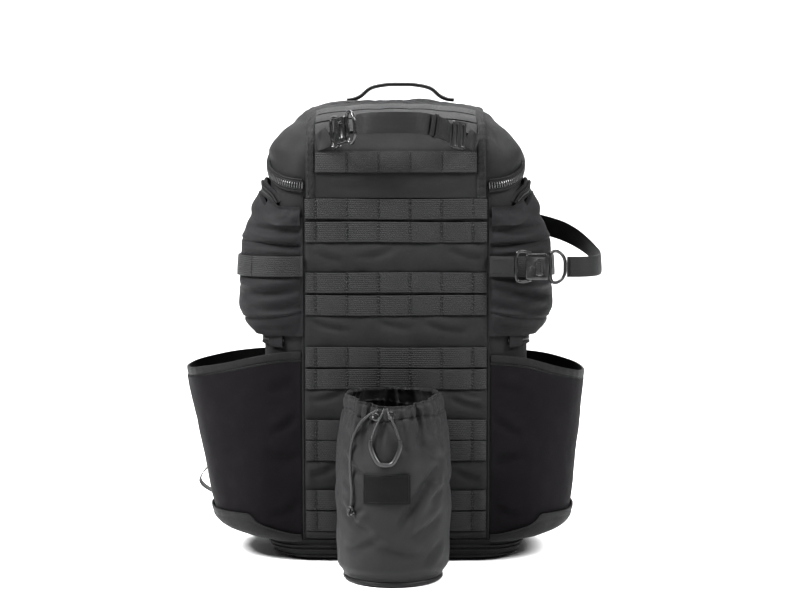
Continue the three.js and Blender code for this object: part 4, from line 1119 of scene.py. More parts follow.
@lru_cache(maxsize=None)
def run_tree(kind: Repeat) -> bpy.types.NodeTree:
    """Builds the Geometry Nodes tree that lays stitches or zip teeth along a line.

    Args:
        kind: what is repeated.

    Returns:
        The tree, whose inputs are Pitch, Length, Width, Height, Jitter and Finish. The line's
        points carry the attribute faces, the way that the surface looks there.
    """
    tree = bpy.data.node_groups.new(f"{kind.value}_run", "GeometryNodeTree")
    tree.interface.new_socket("Geometry", in_out="INPUT", socket_type="NodeSocketGeometry")
    for label, usual in (("Pitch", 0.003), ("Length", 0.002), ("Width", 0.0008),
                         ("Height", 0.0006), ("Jitter", 0.1)):
        socket = tree.interface.new_socket(label, in_out="INPUT", socket_type="NodeSocketFloat")
        socket.default_value = usual
    tree.interface.new_socket("Finish", in_out="INPUT", socket_type="NodeSocketMaterial")
    tree.interface.new_socket("Geometry", in_out="OUTPUT", socket_type="NodeSocketGeometry")
    s = NodeSketch(tree)
    take, give = s.add("NodeGroupInput"), s.add("NodeGroupOutput")
    curve = s.add("GeometryNodeMeshToCurve", inputs={"Mesh": take.outputs["Geometry"]})
    even = s.add("GeometryNodeResampleCurve", inputs={"Curve": curve.outputs[0]})
    if hasattr(even, "mode"):
        even.mode = "LENGTH"
    s.feed(even.inputs["Length"], take.outputs["Pitch"])
    tangent = s.add("GeometryNodeInputTangent")
    faces = s.add("GeometryNodeInputNamedAttribute", data_type="FLOAT_VECTOR",
                  inputs={"Name": "faces"})
    first = s.add("FunctionNodeAlignEulerToVector", axis="X",
                  inputs={"Vector": tangent.outputs[0]})
    second = s.add("FunctionNodeAlignEulerToVector", axis="Z", pivot_axis="X",
                   inputs={"Rotation": first.outputs[0], "Vector": faces.outputs["Attribute"]})
    loose = s.add("FunctionNodeRandomValue", data_type="FLOAT_VECTOR", inputs={"Seed": 7})
    for end, way in (("Min", "SUBTRACT"), ("Max", "ADD")):
        limit = s.math(way, 1.0, take.outputs["Jitter"])
        s.feed(loose.inputs[end], s.triple(limit, limit, limit))
    size = s.triple(*(take.outputs[label] for label in ("Length", "Width", "Height")))
    if kind is Repeat.STITCH:
        shape = s.add("GeometryNodeMeshUVSphere",
                      inputs={"Segments": 6, "Rings": 5, "Radius": 0.5})
    else:
        shape = s.add("GeometryNodeMeshCube", inputs={"Size": (1.0, 1.0, 1.0), "Vertices X": 2,
                                                       "Vertices Y": 4, "Vertices Z": 2})
        place = s.add("GeometryNodeInputPosition")
        parts = s.add("ShaderNodeSeparateXYZ", inputs={"Vector": place.outputs[0]})
        bulge = s.math("SUBTRACT", 1.0, s.math("MULTIPLY", s.math("POWER", s.math(
            "ABSOLUTE", s.math("MULTIPLY", parts.outputs["Y"], 2.0)), 2.0), 0.55))
        squeezed = s.triple(s.math("MULTIPLY", parts.outputs["X"], bulge), parts.outputs["Y"],
                            s.math("MULTIPLY", parts.outputs["Z"], bulge))
        shape = s.add("GeometryNodeSetPosition", inputs={"Geometry": shape.outputs["Mesh"],
                                                          "Position": squeezed})
    scale = s.add("ShaderNodeVectorMath", operation="MULTIPLY",
                  inputs={0: size, 1: loose.outputs["Value"]})
    copies = s.add("GeometryNodeInstanceOnPoints", inputs={
        "Points": even.outputs[0], "Instance": shape.outputs[0],
        "Rotation": second.outputs[0], "Scale": scale.outputs[0]})
    real = s.add("GeometryNodeRealizeInstances", inputs={"Geometry": copies.outputs[0]})
    dressed = s.add("GeometryNodeSetMaterial", inputs={"Geometry": real.outputs[0],
                                                        "Material": take.outputs["Finish"]})
    s.feed(give.inputs["Geometry"], dressed.outputs[0])
    return tree


def lay_run(
    name: str, kind: Repeat, lines: Sequence[tuple[Array, Array]], finish: Cloth | Hard,
    pitch: float, length: float, width: float, height: float, jitter: float = 0.1,
) -> bpy.types.Object:
    """Lays stitches or teeth along lines, as one plain mesh.

    Args:
        name: the piece's name.
        kind: what is repeated.
        lines: for each line, its points and the way that the surface looks at each.
        finish: what they are made of.
        pitch: the distance between two of them, in millimetres.
        length: the size of each along the line.
        width: its size across the line.
        height: its size off the surface.
        jitter: how uneven they are, as a share of their size.

    Returns:
        The new object.
    """
    points = np.concatenate([line for line, _ in lines])
    looks = np.concatenate([np.broadcast_to(face, line.shape) for line, face in lines])
    edges, start = [], 0
    for line, _ in lines:
        edges += [(start + i, start + i + 1) for i in range(len(line) - 1)]
        start += len(line)
    mesh = bpy.data.meshes.new(name + ".lines")
    mesh.from_pydata((points * MM).tolist(), edges, [])
    attribute = mesh.attributes.new("faces", "FLOAT_VECTOR", "POINT")
    attribute.data.foreach_set("vector", looks.astype(np.float32).ravel())
    holder = linked(name + ".lines", mesh)
    tree = run_tree(kind)
    modifier = holder.modifiers.new("run", "NODES")
    modifier.node_group = tree
    values = {"Pitch": pitch * MM, "Length": length * MM, "Width": width * MM,
              "Height": height * MM, "Jitter": jitter, "Finish": finish.material()}
    for item in tree.interface.items_tree:
        if item.item_type == "SOCKET" and item.in_out == "INPUT" and item.name in values:
            modifier[item.identifier] = values[item.name]
    graph = bpy.context.evaluated_depsgraph_get()
    made = bpy.data.meshes.new_from_object(holder.evaluated_get(graph))
    made.name = name
    holder.modifiers.clear()
    bpy.data.objects.remove(holder)
    bpy.data.meshes.remove(mesh)
    for layer in list(made.uv_layers):
        made.uv_layers.remove(layer)
    made.polygons.foreach_set("use_smooth", [kind is Repeat.STITCH] * len(made.polygons))
    return dress(linked(name, made), finish)


def dress(
    piece: bpy.types.Object, finish: Cloth | Hard, *nodes: str, padding: float | None = None
) -> bpy.types.Object:
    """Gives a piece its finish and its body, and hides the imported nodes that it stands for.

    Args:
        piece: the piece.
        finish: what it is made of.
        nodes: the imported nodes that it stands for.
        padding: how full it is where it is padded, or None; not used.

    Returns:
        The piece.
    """
    piece.data.materials.clear()
    piece.data.materials.append(finish.material())
    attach(piece, ROOT)
    if nodes:
        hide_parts(*nodes)
    LOG.info("%s: %d faces", piece.name, len(piece.data.polygons))
    return piece


def strap(
    name: str, points: Array, facing: Array, width: float, thick: float, finish: Cloth,
    *nodes: str,
) -> bpy.types.Object:
    """Makes a strap of webbing and dresses it.

    Args:
        name: the piece's name.
        points: its middle line.
        facing: the way its flat face looks, one or one for each point.
        width: its width.
        thick: its thickness.
        finish: its cloth.
        nodes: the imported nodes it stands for.

    Returns:
        The strap.
    """
    looks = np.broadcast_to(np.asarray(facing, float), points.shape)
    rings, shares = strap_rings(points, looks, width, thick)
    return dress(skin(name, rings, shares=shares), finish, *nodes)


# ---- the shell -----------------------------------------------------------------------


def zone_steps(per_front: int = 14, per_corner: int = 10, per_side: int = 26) -> Array:
    """Spaces the zones of a full ring round the shell, closer together on its corners.

    Args:
        per_front: the steps on half the front.
        per_corner: the steps round a front corner.
        per_side: the steps along a side.

    Returns:
        The zones.
    """
    counts = (per_front, per_corner, per_side, 8)
    half = np.concatenate([
        *(np.linspace(k, k + 1, n, endpoint=False) for k, n in enumerate(counts)),
        np.linspace(4, 5, per_front + 1)])
    return np.concatenate([half, 10 - half[1:-1][::-1]])


@dataclass
class PaddedShell:
    """The padded tub and the zipped lid that closes it."""

    wall: float = 8.0
    lid_wall: float = 6.0
    hole_half: float = 116.0
    hole_low: float = 32.0
    hole_high: float = 424.0
    port_low: float = 274.0
    port_high: float = 384.0
    port_zones: tuple[float, float] = (2.06, 2.85)
    lid_folds: list = field(default_factory=lambda: [
        (-118, 440, -98, 500, 7, 2.6), (-130, 446, -104, 474, 6, 2.2),
        (116, 438, 99, 498, 7, 2.6), (130, 448, 104, 478, 6, 2.2),
        (-60, 60, 40, 66, 12, 1.2), (70, 10, 30, 50, 14, 1.4), (-80, -10, -40, 30, 13, 1.2),
    ])

    def tub(self) -> bpy.types.Object:
        """Builds the tub's padded walls and floor, with the ways in behind its doors."""
        zones = zone_steps()
        seam_at = np.linspace(0, 1, 44)
        base = np.array([0, 0.003, 0.008, 0.014, 0.024, 0.036, 0.05]) * SHELL.height
        grids = []
        for inset in (0.0, -self.wall):
            rows = [SHELL.point(zones, z, inset) for z in base]
            top = SHELL.slanted(zones, -GAP, inset)[:, 2]
            rows += [SHELL.point(zones, lerp(base[-1], top, s), inset) for s in seam_at[1:]]
            grids.append(np.array(rows))
        outer, inner = grids
        inner[: len(base), :, 2] = np.maximum(inner[: len(base), :, 2], self.wall)
        normals = sheet_normals(outer, wrap=True)
        relief = 0.9 * ripple(outer, 70, 3.1) + 0.35 * ripple(outer, 22, 9.4)
        near = np.minimum(zones, 10 - zones)
        side = smooth(2.0, 2.3, near)
        height = outer[..., 2]
        relief += side * 1.8 * np.sin(np.pi * np.clip((height - 20) / 395, 0, 1))
        relief *= smooth(14, 60, height) * (1 - 0.75 * smooth(380, 412, height))
        front = 1 - smooth(1.5, 1.9, near)
        outer = outer + normals * (relief * (1 - 0.9 * front))[..., None]

        def left_out(j: int, i: int) -> bool:
            """Whether a square is in an opening."""
            z = 0.5 * (outer[j, i, 2] + outer[j + 1, i, 2])
            behind = near[i] > 4.02 and abs(outer[j, i, 0]) < self.hole_half
            door = self.port_zones[0] < near[i] < self.port_zones[1]
            return ((behind and self.hole_low < z < self.hole_high)
                    or (door and self.port_low < z < self.port_high))

        piece = wall("padded_tub", outer, inner, wrap=True, hole=left_out)
        self.close_floor(outer[0], inner[0])
        return dress(piece, SHELL_NYLON, "main_body", padding=0.7)

    def close_floor(self, outer: Array, inner: Array) -> None:
        """Builds the tub's padded floor between the lowest rings of its walls.

        Args:
            outer: the ring of the walls' outer face.
            inner: the ring of their inner face.
        """
        centre = np.array([0, (outer[:, 1].min() + outer[:, 1].max()) / 2, 0])
        shares = np.array([1.0, 0.97, 0.9, 0.7, 0.4, 0.12])
        low, high = (np.array([centre + (ring - centre) * s * [1, 1, 0] for s in shares])
                     for ring in (outer, inner))
        low[..., 2] = 0.15 + 1.2 * np.sin(np.pi * shares)[:, None] ** 2
        high[..., 2] = self.wall - 0.2
        dress(wall("padded_floor", low, high, wrap=True), SHELL_NYLON, padding=0.7)

    def lid(self) -> bpy.types.Object:
        """Builds the hollow dome of the lid, with soft folds over its corners."""
        zones = zone_steps()
        grids = []
        steps = 1 - (1 - np.linspace(0, 1, 30)) ** 1.5
        for inset, drop in ((0.0, 0.0), (-self.lid_wall, self.lid_wall)):
            foot = SHELL.slanted(zones, GAP, inset)
            rows = []
            for s in steps:
                z = lerp(foot[:, 2], SHELL.height, s)
                ring = SHELL.point(zones, z, inset)
                ring[:, 2] -= drop * (z - foot[:, 2]) / (SHELL.height - foot[:, 2])
                rows.append(ring)
            top = rows[-1]
            centre = top.mean(axis=0)
            rows += [centre + (top - centre) * s for s in (0.75, 0.5, 0.25, 0.06)]
            grids.append(np.array(rows))
        outer, inner = grids
        normals = sheet_normals(outer, wrap=True)
        x, y, z = outer[..., 0], outer[..., 1], outer[..., 2]
        relief = 1.6 * ripple(outer, 46, 5.7) + 0.7 * ripple(outer, 19, 2.2)
        front = y < 0
        relief += np.where(front, creases(x, z, self.lid_folds[:4]), 0)
        relief += np.where(z > 470, creases(x, y, self.lid_folds[4:]), 0)
        near_seam = smooth(2, 16, z - SHELL.seam(y))
        covered = np.where(front, 1 - smooth(94, 101, np.abs(x)), 0)
        relief = np.where(covered > 0, np.minimum(relief, 0.2), relief) * near_seam
        outer = outer + normals * relief[..., None]
        piece = wall("lid_dome", outer, inner, wrap=True)
        return dress(piece, SHELL_NYLON, "lid", padding=0.5)

    def seam_piping(self) -> None:
        """Builds the corded seams beside the front panel and round the foot of the tub."""
        for side in Side:
            heights = np.linspace(26, 404, 70)
            line = mirrored(SHELL.face(101.3, heights, 0.8), side)
            piece = skin(f"front_piping_{side.word}", tube_rings(line, 1.5, 10))
            dress(piece, BINDING)
        zones = zone_steps(8, 8, 12)
        for k, (height, out, radius) in enumerate(
            ((25.0, 0.5, 1.2), (18.0, 0.7, 1.3), (13.5, 0.7, 1.0), (6.0, 0.5, 1.4)), 1
        ):
            rings = tube_rings(SHELL.point(zones, height, out), radius, 8, closed=True)
            dress(skin(f"foot_piping_{k}", rings, closed=True), BINDING)


# ---- zips ----------------------------------------------------------------------------


@dataclass
class Zip:
    """A zip with its two tapes, its coil and its corded edges, along a line on a surface."""

    name: str
    points: Array
    looks: Array
    width: float
    cords: tuple[tuple[float, float], ...]
    tooth: tuple[float, float, float] = (1.15, 4.6, 1.7)
    pitch: float = 2.3
    teeth_at: float = 0.0
    tape: float = 1.6

    def offset(self, across: float, off: float) -> Array:
        """Moves the line across the surface and off it.

        Args:
            across: how far across.
            off: how far off.

        Returns:
            The moved line.
        """
        run = directions(self.points)
        aside = unit(np.cross(self.looks, run))
        return self.points + aside * across + unit(self.looks) * off

    def build(self, *nodes: str) -> None:
        """Builds the tape, the cords and the teeth.

        Args:
            nodes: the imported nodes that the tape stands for.
        """
        rings, shares = strap_rings(self.points, self.looks, self.width, self.tape, edge=0.8)
        dress(skin(self.name, rings, shares=shares), ZIP_TAPE, *nodes)
        for k, (across, radius) in enumerate(self.cords, 1):
            line = self.offset(across, self.tape / 2 + radius * 0.35)
            cord = skin(f"{self.name}_cord_{k}", tube_rings(line, radius, 8))
            dress(cord, BINDING)
        line = self.offset(self.teeth_at, self.tape / 2 + self.tooth[2] * 0.3)
        lay_run(f"{self.name}_teeth", Repeat.TOOTH, [(line, self.looks)], COIL, self.pitch,
                *self.tooth, jitter=0.04)


@dataclass
class LidZip:
    """The zip round the seam between the tub and its lid."""

    band: float = 14.0
    panel_half: float = 101.2

    def build(self) -> None:
        """Builds the band on the shell and the teeth and cords on it."""
        start = float(SHELL.zone_at(self.panel_half, SHELL.seam(-SHELL.front)))
        zones = zone_steps(6, 14, 30)
        zones = zones[(zones > start) & (zones < 10 - start)]
        zones = np.concatenate([[start], zones, [10 - start]])
        over = np.linspace(-0.5, 0.5, 29) * self.band
        base = np.array([SHELL.slanted(zones, o) for o in over])
        normals = sheet_normals(base)
        outward = np.sum(normals[..., :2] * base[..., :2], axis=-1).mean()
        normals = normals * (1 if outward > 0 else -1)
        v = over[:, None]
        lift = 2.9 + 0.5 * bump(-4.5, 1.6, v) - 0.9 * bump(-6.8, 0.9, v) - 0.8 * bump(3.1, 0.9, v)
        outer = base + normals * lift[..., None]
        inner = base + normals * 0.9
        dress(wall("lid_zip_band", outer, inner), ZIP_TAPE, "lid_zipper")
        looks = normals[14]

        def line(at: float, off: float) -> Array:
            """A line beside the seam."""
            return SHELL.slanted(zones, at) + looks * off

        for k, (at, off, radius) in enumerate(
            ((6.1, 3.2, 1.35), (3.9, 3.5, 1.15), (-3.6, 3.2, 1.0), (-6.2, 2.4, 1.1)), 1
        ):
            rings = tube_rings(line(at, off), radius, 8)
            dress(skin(f"lid_zip_cord_{k}", rings), BINDING)
        fine = curve_points(line(0.3, 3.7), 420)
        near = np.linspace(0, len(looks) - 1, len(fine))
        faces = np.stack([np.interp(near, np.arange(len(looks)), way) for way in looks.T], 1)
        lay_run("lid_zip_teeth", Repeat.TOOTH, [(fine, unit(faces))], COIL, 2.9, 1.15, 6.6, 2.6,
                jitter=0.04)


# ---- the front panel and its webbing -------------------------------------------------

FORWARD = np.array([0.0, -1.0, 0.0])
ROW_SHARES = (0.024, 0.0861, 0.2331, 0.2955, 0.4453, 0.5088, 0.6613, 0.7275, 0.8741, 0.9413)
# The heights of the lid rows' edges as shares of the way up the lid's panel.
LID_ROW_SHARES = ((0.26, 0.47), (0.668, 0.79), (0.802, 0.878), (0.887, 0.942))


@dataclass
class FrontPanel:
    """The flat front with its ten rows of webbing, each sewn down at even steps."""

    half: float = 100.0
    low: float = 27.0
    high: float = 402.0
    thick: float = 1.5
    web: float = 22.2
    web_thick: float = 1.6
    tacks: tuple[float, ...] = (-87.5, -53.2, -18.9, 15.4, 49.7, 84.0)

    @property
    def rows(self) -> list[float]:
        """The height of each row's lower edge."""
        return [lerp(self.low, self.high, share) for share in ROW_SHARES]

    def cloth(self) -> None:
        """Builds the panel's cloth, which swells a little between the rows."""
        x, z = np.meshgrid(np.linspace(-self.half, self.half, 84),
                           np.linspace(self.low, self.high, 190))
        swell = np.full(x.shape, -0.55)
        edges = [self.low, *[e for r in self.rows for e in (r, r + self.web)], self.high]
        for a, b in zip(edges[::2], edges[1::2]):
            if b - a > 6:
                inside = np.clip((z - a) / (b - a), 0, 1)
                swell = swell + 2.7 * np.sin(np.pi * inside) ** 0.7 * (inside > 0) * (inside < 1)
        folds = [
            (-96, 270, -50, 258, 3.5, 2.0), (-96, 180, -56, 190, 4, 1.8),
            (56, 347, 96, 336, 4, 2.0),
            (58, 184, 97, 172, 4, 2.0), (-96, 98, -66, 106, 4, 1.8), (30, 266, 80, 256, 4, 1.6),
            (-46, 338, 0, 347, 4, 1.6), (-34, 182, 20, 172, 5, 1.6), (62, 103, 96, 92, 4, 1.8),
            (-90, 344, -58, 334, 4, 1.6), (-20, 268, 20, 260, 4, 1.5), (70, 190, 96, 184, 3, 1.4),
        ]
        swell = swell + creases(x, z, folds)
        swell *= smooth(0, 5, self.half - np.abs(x))
        uneven = ripple(SHELL.face(x, z), 16, 4.4)
        swell = swell + 0.55 * uneven * smooth(0, 8, self.half - np.abs(x))
        outer = SHELL.face(x, z, GAP + self.thick + swell)
        dress(wall("front_cloth", outer, SHELL.face(x, z, GAP)), SHELL_NYLON, "front_panel")

    def webbing(self) -> None:
        """Builds the rows, drawn in at each tack and standing off a little between them."""
        lift = 2 * GAP + self.thick
        tack_lines = []
        columns = np.unique(np.concatenate([
            np.linspace(-self.half + 1, self.half - 1, 96),
            *[t + np.array([-1.6, -0.8, 0, 0.8, 1.6]) for t in self.tacks]]))
        x, s = np.meshgrid(columns, np.linspace(0, 1, 9))
        away = np.min([np.abs(x - tack) for tack in self.tacks], axis=0)
        steps = np.linspace(0.8, self.web - 0.8, 20)
        for k, low in enumerate(self.rows, 1):
            z = low + s * self.web
            loop = 0.75 * smooth(0, 15, away) + 0.3 * smooth(0.2, 2.0, away)
            ends = smooth(0, 6, self.half - 1 - np.abs(x))
            rise = (loop - 0.3) * ends - 0.6 * (1 - ends) + 0.15 * np.sin(k * 2.3 + x / 23)
            edge = -0.25 * (np.abs(2 * s - 1) > 0.98)
            wave = 0.35 * np.sin(x / 31 + 1.7 * k)
            at = z + wave * ends
            outer = SHELL.face(x, at, lift + self.web_thick + rise + edge)
            inner = SHELL.face(x, at, lift + np.maximum(rise - 0.1, 0))
            piece = wall(f"front_web_{k:02d}", outer, inner, sharp=50)
            dress(piece, WEBBING, f"webbing_row_{k:02d}")
            tack_lines += [(SHELL.face(tack, low + steps, lift + self.web_thick + 0.1), FORWARD)
                           for tack in self.tacks]
        lay_run("front_tacks", Repeat.STITCH, tack_lines, THREAD, 3.0, 2.0, 2.4, 1.3)


def lid_face(across: Array, height: Array, half: float, out: Array | float) -> Array:
    """Places points on the lid's front, by the height on its centre line.

    Args:
        across: from -1 to 1.
        height: the height on the centre line, from which level lines droop to the sides.
        half: the distance from the middle that 1 stands for.
        out: how far off the shell they are.

    Returns:
        The points.
    """
    x = across * half
    droop = 9 * smooth(0.8594 * SHELL.height, 0.9766 * SHELL.height, height)
    return SHELL.face(x, height - droop * (x / 98) ** 2, out)


@dataclass
class LidPanel:
    """The panel that carries the front on over the lid, with its bound border."""

    half: float = 98.0
    low: float = 403.0
    high: float = 508.5
    thick: float = 1.5
    standoff: float = 1.1
    row_half: float = 88.0
    web_thick: float = 1.6
    corner: float = 15.0
    border_side: float = 10.0
    border_top: float = 8.0
    tacks: tuple[float, ...] = (-53.2, -18.9, 15.4, 49.7)

    def border(self, x: Array, z: Array) -> Array:
        """Measures how far inside the panel's rounded border places lie.

        Args:
            x: the distances from the middle.
            z: the heights.

        Returns:
            The distances, below 0 on the border.
        """
        inner, top = self.half - self.border_side, self.high - self.border_top
        dx = np.abs(x) - (inner - self.corner)
        dz = z - (top - self.corner)
        rounded = np.hypot(np.maximum(dx, 0), np.maximum(dz, 0)) - self.corner
        return -np.maximum(rounded, np.maximum(np.abs(x) - inner, z - top))

    def cloth(self) -> None:
        """Builds the panel with its raised border, quilted between two rows of stitches."""
        u, v = np.meshgrid(np.linspace(-1, 1, 120), np.linspace(0, 1, 76))
        height = self.high - (self.high - self.low) * (1 - v) ** 1.55
        x = u * self.half
        inside = self.border(x, height)
        on_border = 1 - smooth(-1.2, 0.2, inside)
        quilt = 0.35 * np.sin((height + 0.6 * np.abs(x)) / 1.35) * np.sin(inside / 1.6)
        rise = on_border * (1.5 + 1.6 * quilt) - 0.5 * bump(0.0, 0.8, inside)
        rise = rise - 0.5 * on_border * (bump(-2.2, 0.7, inside) + bump(-7.6, 0.7, inside))
        folds = [(-70, 415, 20, 421, 5, 0.8), (-10, 408, 80, 414, 5, 0.7),
                 (-84, 462, -50, 458, 4, 0.6)]
        rise = rise + (1 - on_border) * creases(x, height, folds)
        rise = rise * smooth(0, 2.0, self.half - np.abs(x))
        outer = lid_face(u, height, self.half, self.standoff + self.thick + rise)
        inner = lid_face(u, height, self.half, self.standoff)
        dress(wall("lid_cloth", outer, inner), SHELL_NYLON, "lid_panel")
        self.stitches()

    def stitches(self) -> None:
        """Sews the border down with two rows of stitches."""
        lines = []
        for inset in (2.2, 7.6):
            half, corner = self.half - self.border_side + inset, self.corner + inset
            top = self.high - self.border_top + inset
            side = np.linspace(self.low + 1, top - corner, 60)
            turn = np.linspace(0, QUARTER, 18)[1:]
            x = np.concatenate([np.full(60, half), half - corner + corner * np.cos(turn)])
            z = np.concatenate([side, top - corner + corner * np.sin(turn)])
            level = np.linspace(half - corner, corner - half, 60)[1:-1]
            x = np.concatenate([x, level, -x[::-1]])
            z = np.concatenate([z, np.full(58, top), z[::-1]])
            z = np.minimum(z, self.high - 0.4)
            line = lid_face(x / self.half, z, self.half, self.standoff + self.thick + 1.2)
            near = lid_face(x / self.half, z, self.half, 6.0)
            lines.append((line, unit(near - line)))
        lay_run("lid_border_stitches", Repeat.STITCH, lines, THREAD, 2.9, 2.3, 1.1, 1.0)

    def webbing(self) -> None:
        """Builds the four rows across the lid and the tacks on the lowest of them."""
        lift = self.standoff + self.thick + 2.4 * GAP
        for k, (low, high) in enumerate(LID_ROW_SHARES, 1):
            x, z = np.meshgrid(np.linspace(-1, 1, 90),
                               lerp(self.low, self.high, np.linspace(low, high, 9)))
            ends = smooth(0, 0.06, 1 - np.abs(x))
            loops = np.abs(np.sin(np.pi * (x * self.row_half - 84) / 34.3))
            rise = 0.7 * ends * loops - 0.5 * (1 - ends)
            outer = lid_face(x, z, self.row_half, lift + self.web_thick + rise)
            inner = lid_face(x, z, self.row_half, lift)
            piece = wall(f"lid_web_{k}", outer, inner, sharp=50)
            dress(piece, WEBBING, f"lid_row_{k}")
            if k == 1:
                steps = np.linspace(z[0, 0] + 1, z[-1, 0] - 1, 24)
                lines = [(lid_face(at / self.row_half, steps, self.row_half,
                                   lift + self.web_thick + 0.3), np.array([0.0, -1.0, 0.1]))
                         for at in self.tacks]
        lay_run("lid_tacks", Repeat.STITCH, lines, THREAD, 2.55, 1.9, 1.7, 1.1)


# ---- side doors ----------------------------------------------------------------------

DOOR_ALONG = np.array([
    (0, 0), (0.12, 0.3), (0.3, 0.78), (0.5, 1), (0.75, 1), (0.92, 0.75), (1, 0.2),
], float)
DOOR_UP = np.array([
    (0, 0.35), (0.12, 0.85), (0.35, 1), (0.6, 0.97), (0.85, 0.72), (1, 0.42),
], float)


@dataclass
class SideDoor:
    """A bulged door on one side, with its zip, its webbing and its pull."""

    side: Side
    low: float = 252.0
    front_top: float = 382.0
    rear_top: float = 410.0
    bulge: float = 30.0
    wall: float = 5.0
    hem: float = 2.5
    rear: float = 3.02
    zip_rear: float = 3.3
    row_low: float = 317.5
    web: float = 22.2

    def top(self, u: Array) -> Array:
        """The height of the door's upper edge."""
        return lerp(self.front_top, self.rear_top, smooth(0.2, 0.55, u))

    def zone(self, u: Array, z: Array) -> Array:
        """The zone of the shell that a place on the door lies over."""
        return lerp(SHELL.zone_at(101.5, z), self.rear, u**1.15)

    def swell(self, u: Array, z: Array) -> Array:
        """How far the door bulges off the shell."""
        up = (z - self.low) / (self.top(u) - self.low)
        return self.bulge * table_value(DOOR_ALONG, 1, u) * table_value(DOOR_UP, 1, up)

    def outer(self, u: Array, z: Array) -> Array:
        """The door's outer face off the shell."""
        return 2 * GAP + np.maximum(self.hem, self.swell(u, z))

    def over(self, u: Array, z: Array, off: Number) -> Array:
        """Places over the door's zone and off the shell, on the door's own side."""
        return mirrored(SHELL.point(self.zone(u, z), z, off), self.side)

    def cloth(self) -> None:
        """Builds the padded door, creased above and below its webbing."""
        u, v = np.meshgrid(np.linspace(0, 1, 120), np.linspace(0, 1, 130))
        z = lerp(self.low, self.top(u), v)
        along = u * 150
        folds = [
            (3, 306, 78, 298, 4.5, 3.6), (2, 288, 64, 282, 4.5, 3.4), (20, 268, 96, 276, 6, 2.6),
            (2, 350, 66, 359, 4.5, 3.6), (3, 368, 72, 374, 5, 4.2), (40, 384, 118, 392, 6, 2.4),
            (70, 312, 140, 304, 6, 2.2), (74, 346, 138, 352, 6, 2.2), (12, 262, 56, 259, 4, 1.6),
            (2, 330, 40, 343, 3.5, 2.0), (30, 300, 84, 310, 4, 2.0),
        ]
        seams = [(-30, 352, 130, 371, 1.5, 1.7), (-30, 284, 150, 275, 1.5, 1.7),
                 (-30, 344, 150, 346, 1.3, 1.0)]
        relief = creases(along, z, folds) + creases(along, z, seams) + 0.8 * ripple(
            stacked(along, z, 40 * self.side.value), 34, 6.2)
        edge = np.min([smooth(0, 0.06, u), smooth(0, 0.05, 1 - u), smooth(0, 0.07, v),
                       smooth(0, 0.07, 1 - v)], axis=0)
        row = smooth(7, 0, np.abs(z - self.row_low - self.web / 2) - self.web / 2)
        relief = relief * edge * (1 - 0.85 * row) - 1.0 * row * edge
        outer = self.over(u, z, self.outer(u, z) + relief)
        inner = self.over(u, z, 2 * GAP + np.maximum(0, self.swell(u, z) - self.wall))
        name = self.side.word
        piece = wall(f"door_cloth_{name}", outer, inner)
        dress(piece, DOOR_NYLON, f"side_door_{name}", padding=0.6)

    def webbing(self) -> None:
        """Builds the row of webbing across the door."""
        u, s = np.meshgrid(np.linspace(0, 1, 90), np.linspace(0, 1, 7))
        z = self.row_low + s * self.web
        edge = 0.2 * (np.abs(2 * s - 1) < 0.98)
        outer = self.over(u, z, self.outer(u, z) + 0.7 + 1.6 + edge)
        inner = self.over(u, z, self.outer(u, z) + 0.5)
        name = self.side.word
        dress(wall(f"door_web_{name}", outer, inner, sharp=50), WEBBING, f"door_webbing_{name}")

    def zip_line(self) -> tuple[Array, Array]:
        """The middle line of the door's zip and the way that it looks."""
        edge, per_zone = 5.3, 80.0
        turn = lerp(self.rear, self.zip_rear, 0.8)
        top, bottom = self.rear_top + edge, self.low - edge

        def above(u: float, extra: float) -> tuple[float, float, float]:
            """A place over the door's top."""
            at = float(self.top(u))
            return float(self.zone(u, at)) * per_zone, 0.0, at + edge + extra

        def below(u: float) -> tuple[float, float, float]:
            """A place under the door's foot."""
            return float(self.zone(u, bottom)) * per_zone, 0.0, bottom

        rear = self.zip_rear * per_zone
        route = [
            above(0.3, 1), above(0.4, 2), above(0.52, 1.5), above(0.65, 0), above(0.92, 0),
            (turn * per_zone, 0, top - 3), (rear, 0, top - 26), (rear, 0, (bottom + top) / 2),
            (rear, 0, bottom + 26), (turn * per_zone, 0, bottom + 3), below(0.92), below(0.6),
            below(0.2),
        ]
        flat = curve_points(route, 180)
        zone, z = flat[:, 0] / per_zone, flat[:, 2]
        rise = 7 * smooth(top - 16, top - 4, z) * smooth(1.5, 1.9, zone) * (
            1 - smooth(2.7, self.rear, zone))
        line = SHELL.point(zone, z, 1.6 + rise)
        looks = unit(SHELL.point(zone, z, 3.6 + rise) - line)
        return mirrored(line, self.side), mirrored(looks, self.side)

    def zip(self) -> None:
        """Builds the zip round the door, its cords and its pull."""
        line, looks = self.zip_line()
        name = self.side.word
        cords = ((-4.3, 1.2), (-2.7, 0.75), (2.7, 0.75), (4.3, 1.2))
        Zip(f"door_zip_{name}", line, looks, 10.0, cords,
            tooth=(1.0, 3.0, 1.4), pitch=2.0).build(f"door_zipper_{name}")
        strap(f"door_gusset_{name}", line - looks * 3.3, looks, 17.0, 4.6, DOOR_NYLON)
        strap(f"zip_garage_{name}", line[-9:] + looks[-9:] * 2.4, looks[-9:], 15.0, 1.8,
              DOOR_NYLON)
        self.pull()
        self.flap()
        u, z = 0.34, self.row_low + np.linspace(0.8, self.web - 0.8, 26)
        line, away = (self.over(u, z, self.outer(u, z) + off) for off in (2.6, 5.6))
        lay_run(f"door_tacks_{name}", Repeat.STITCH, [(line, unit(away - line))], THREAD, 2.55,
                1.9, 1.7, 1.1)

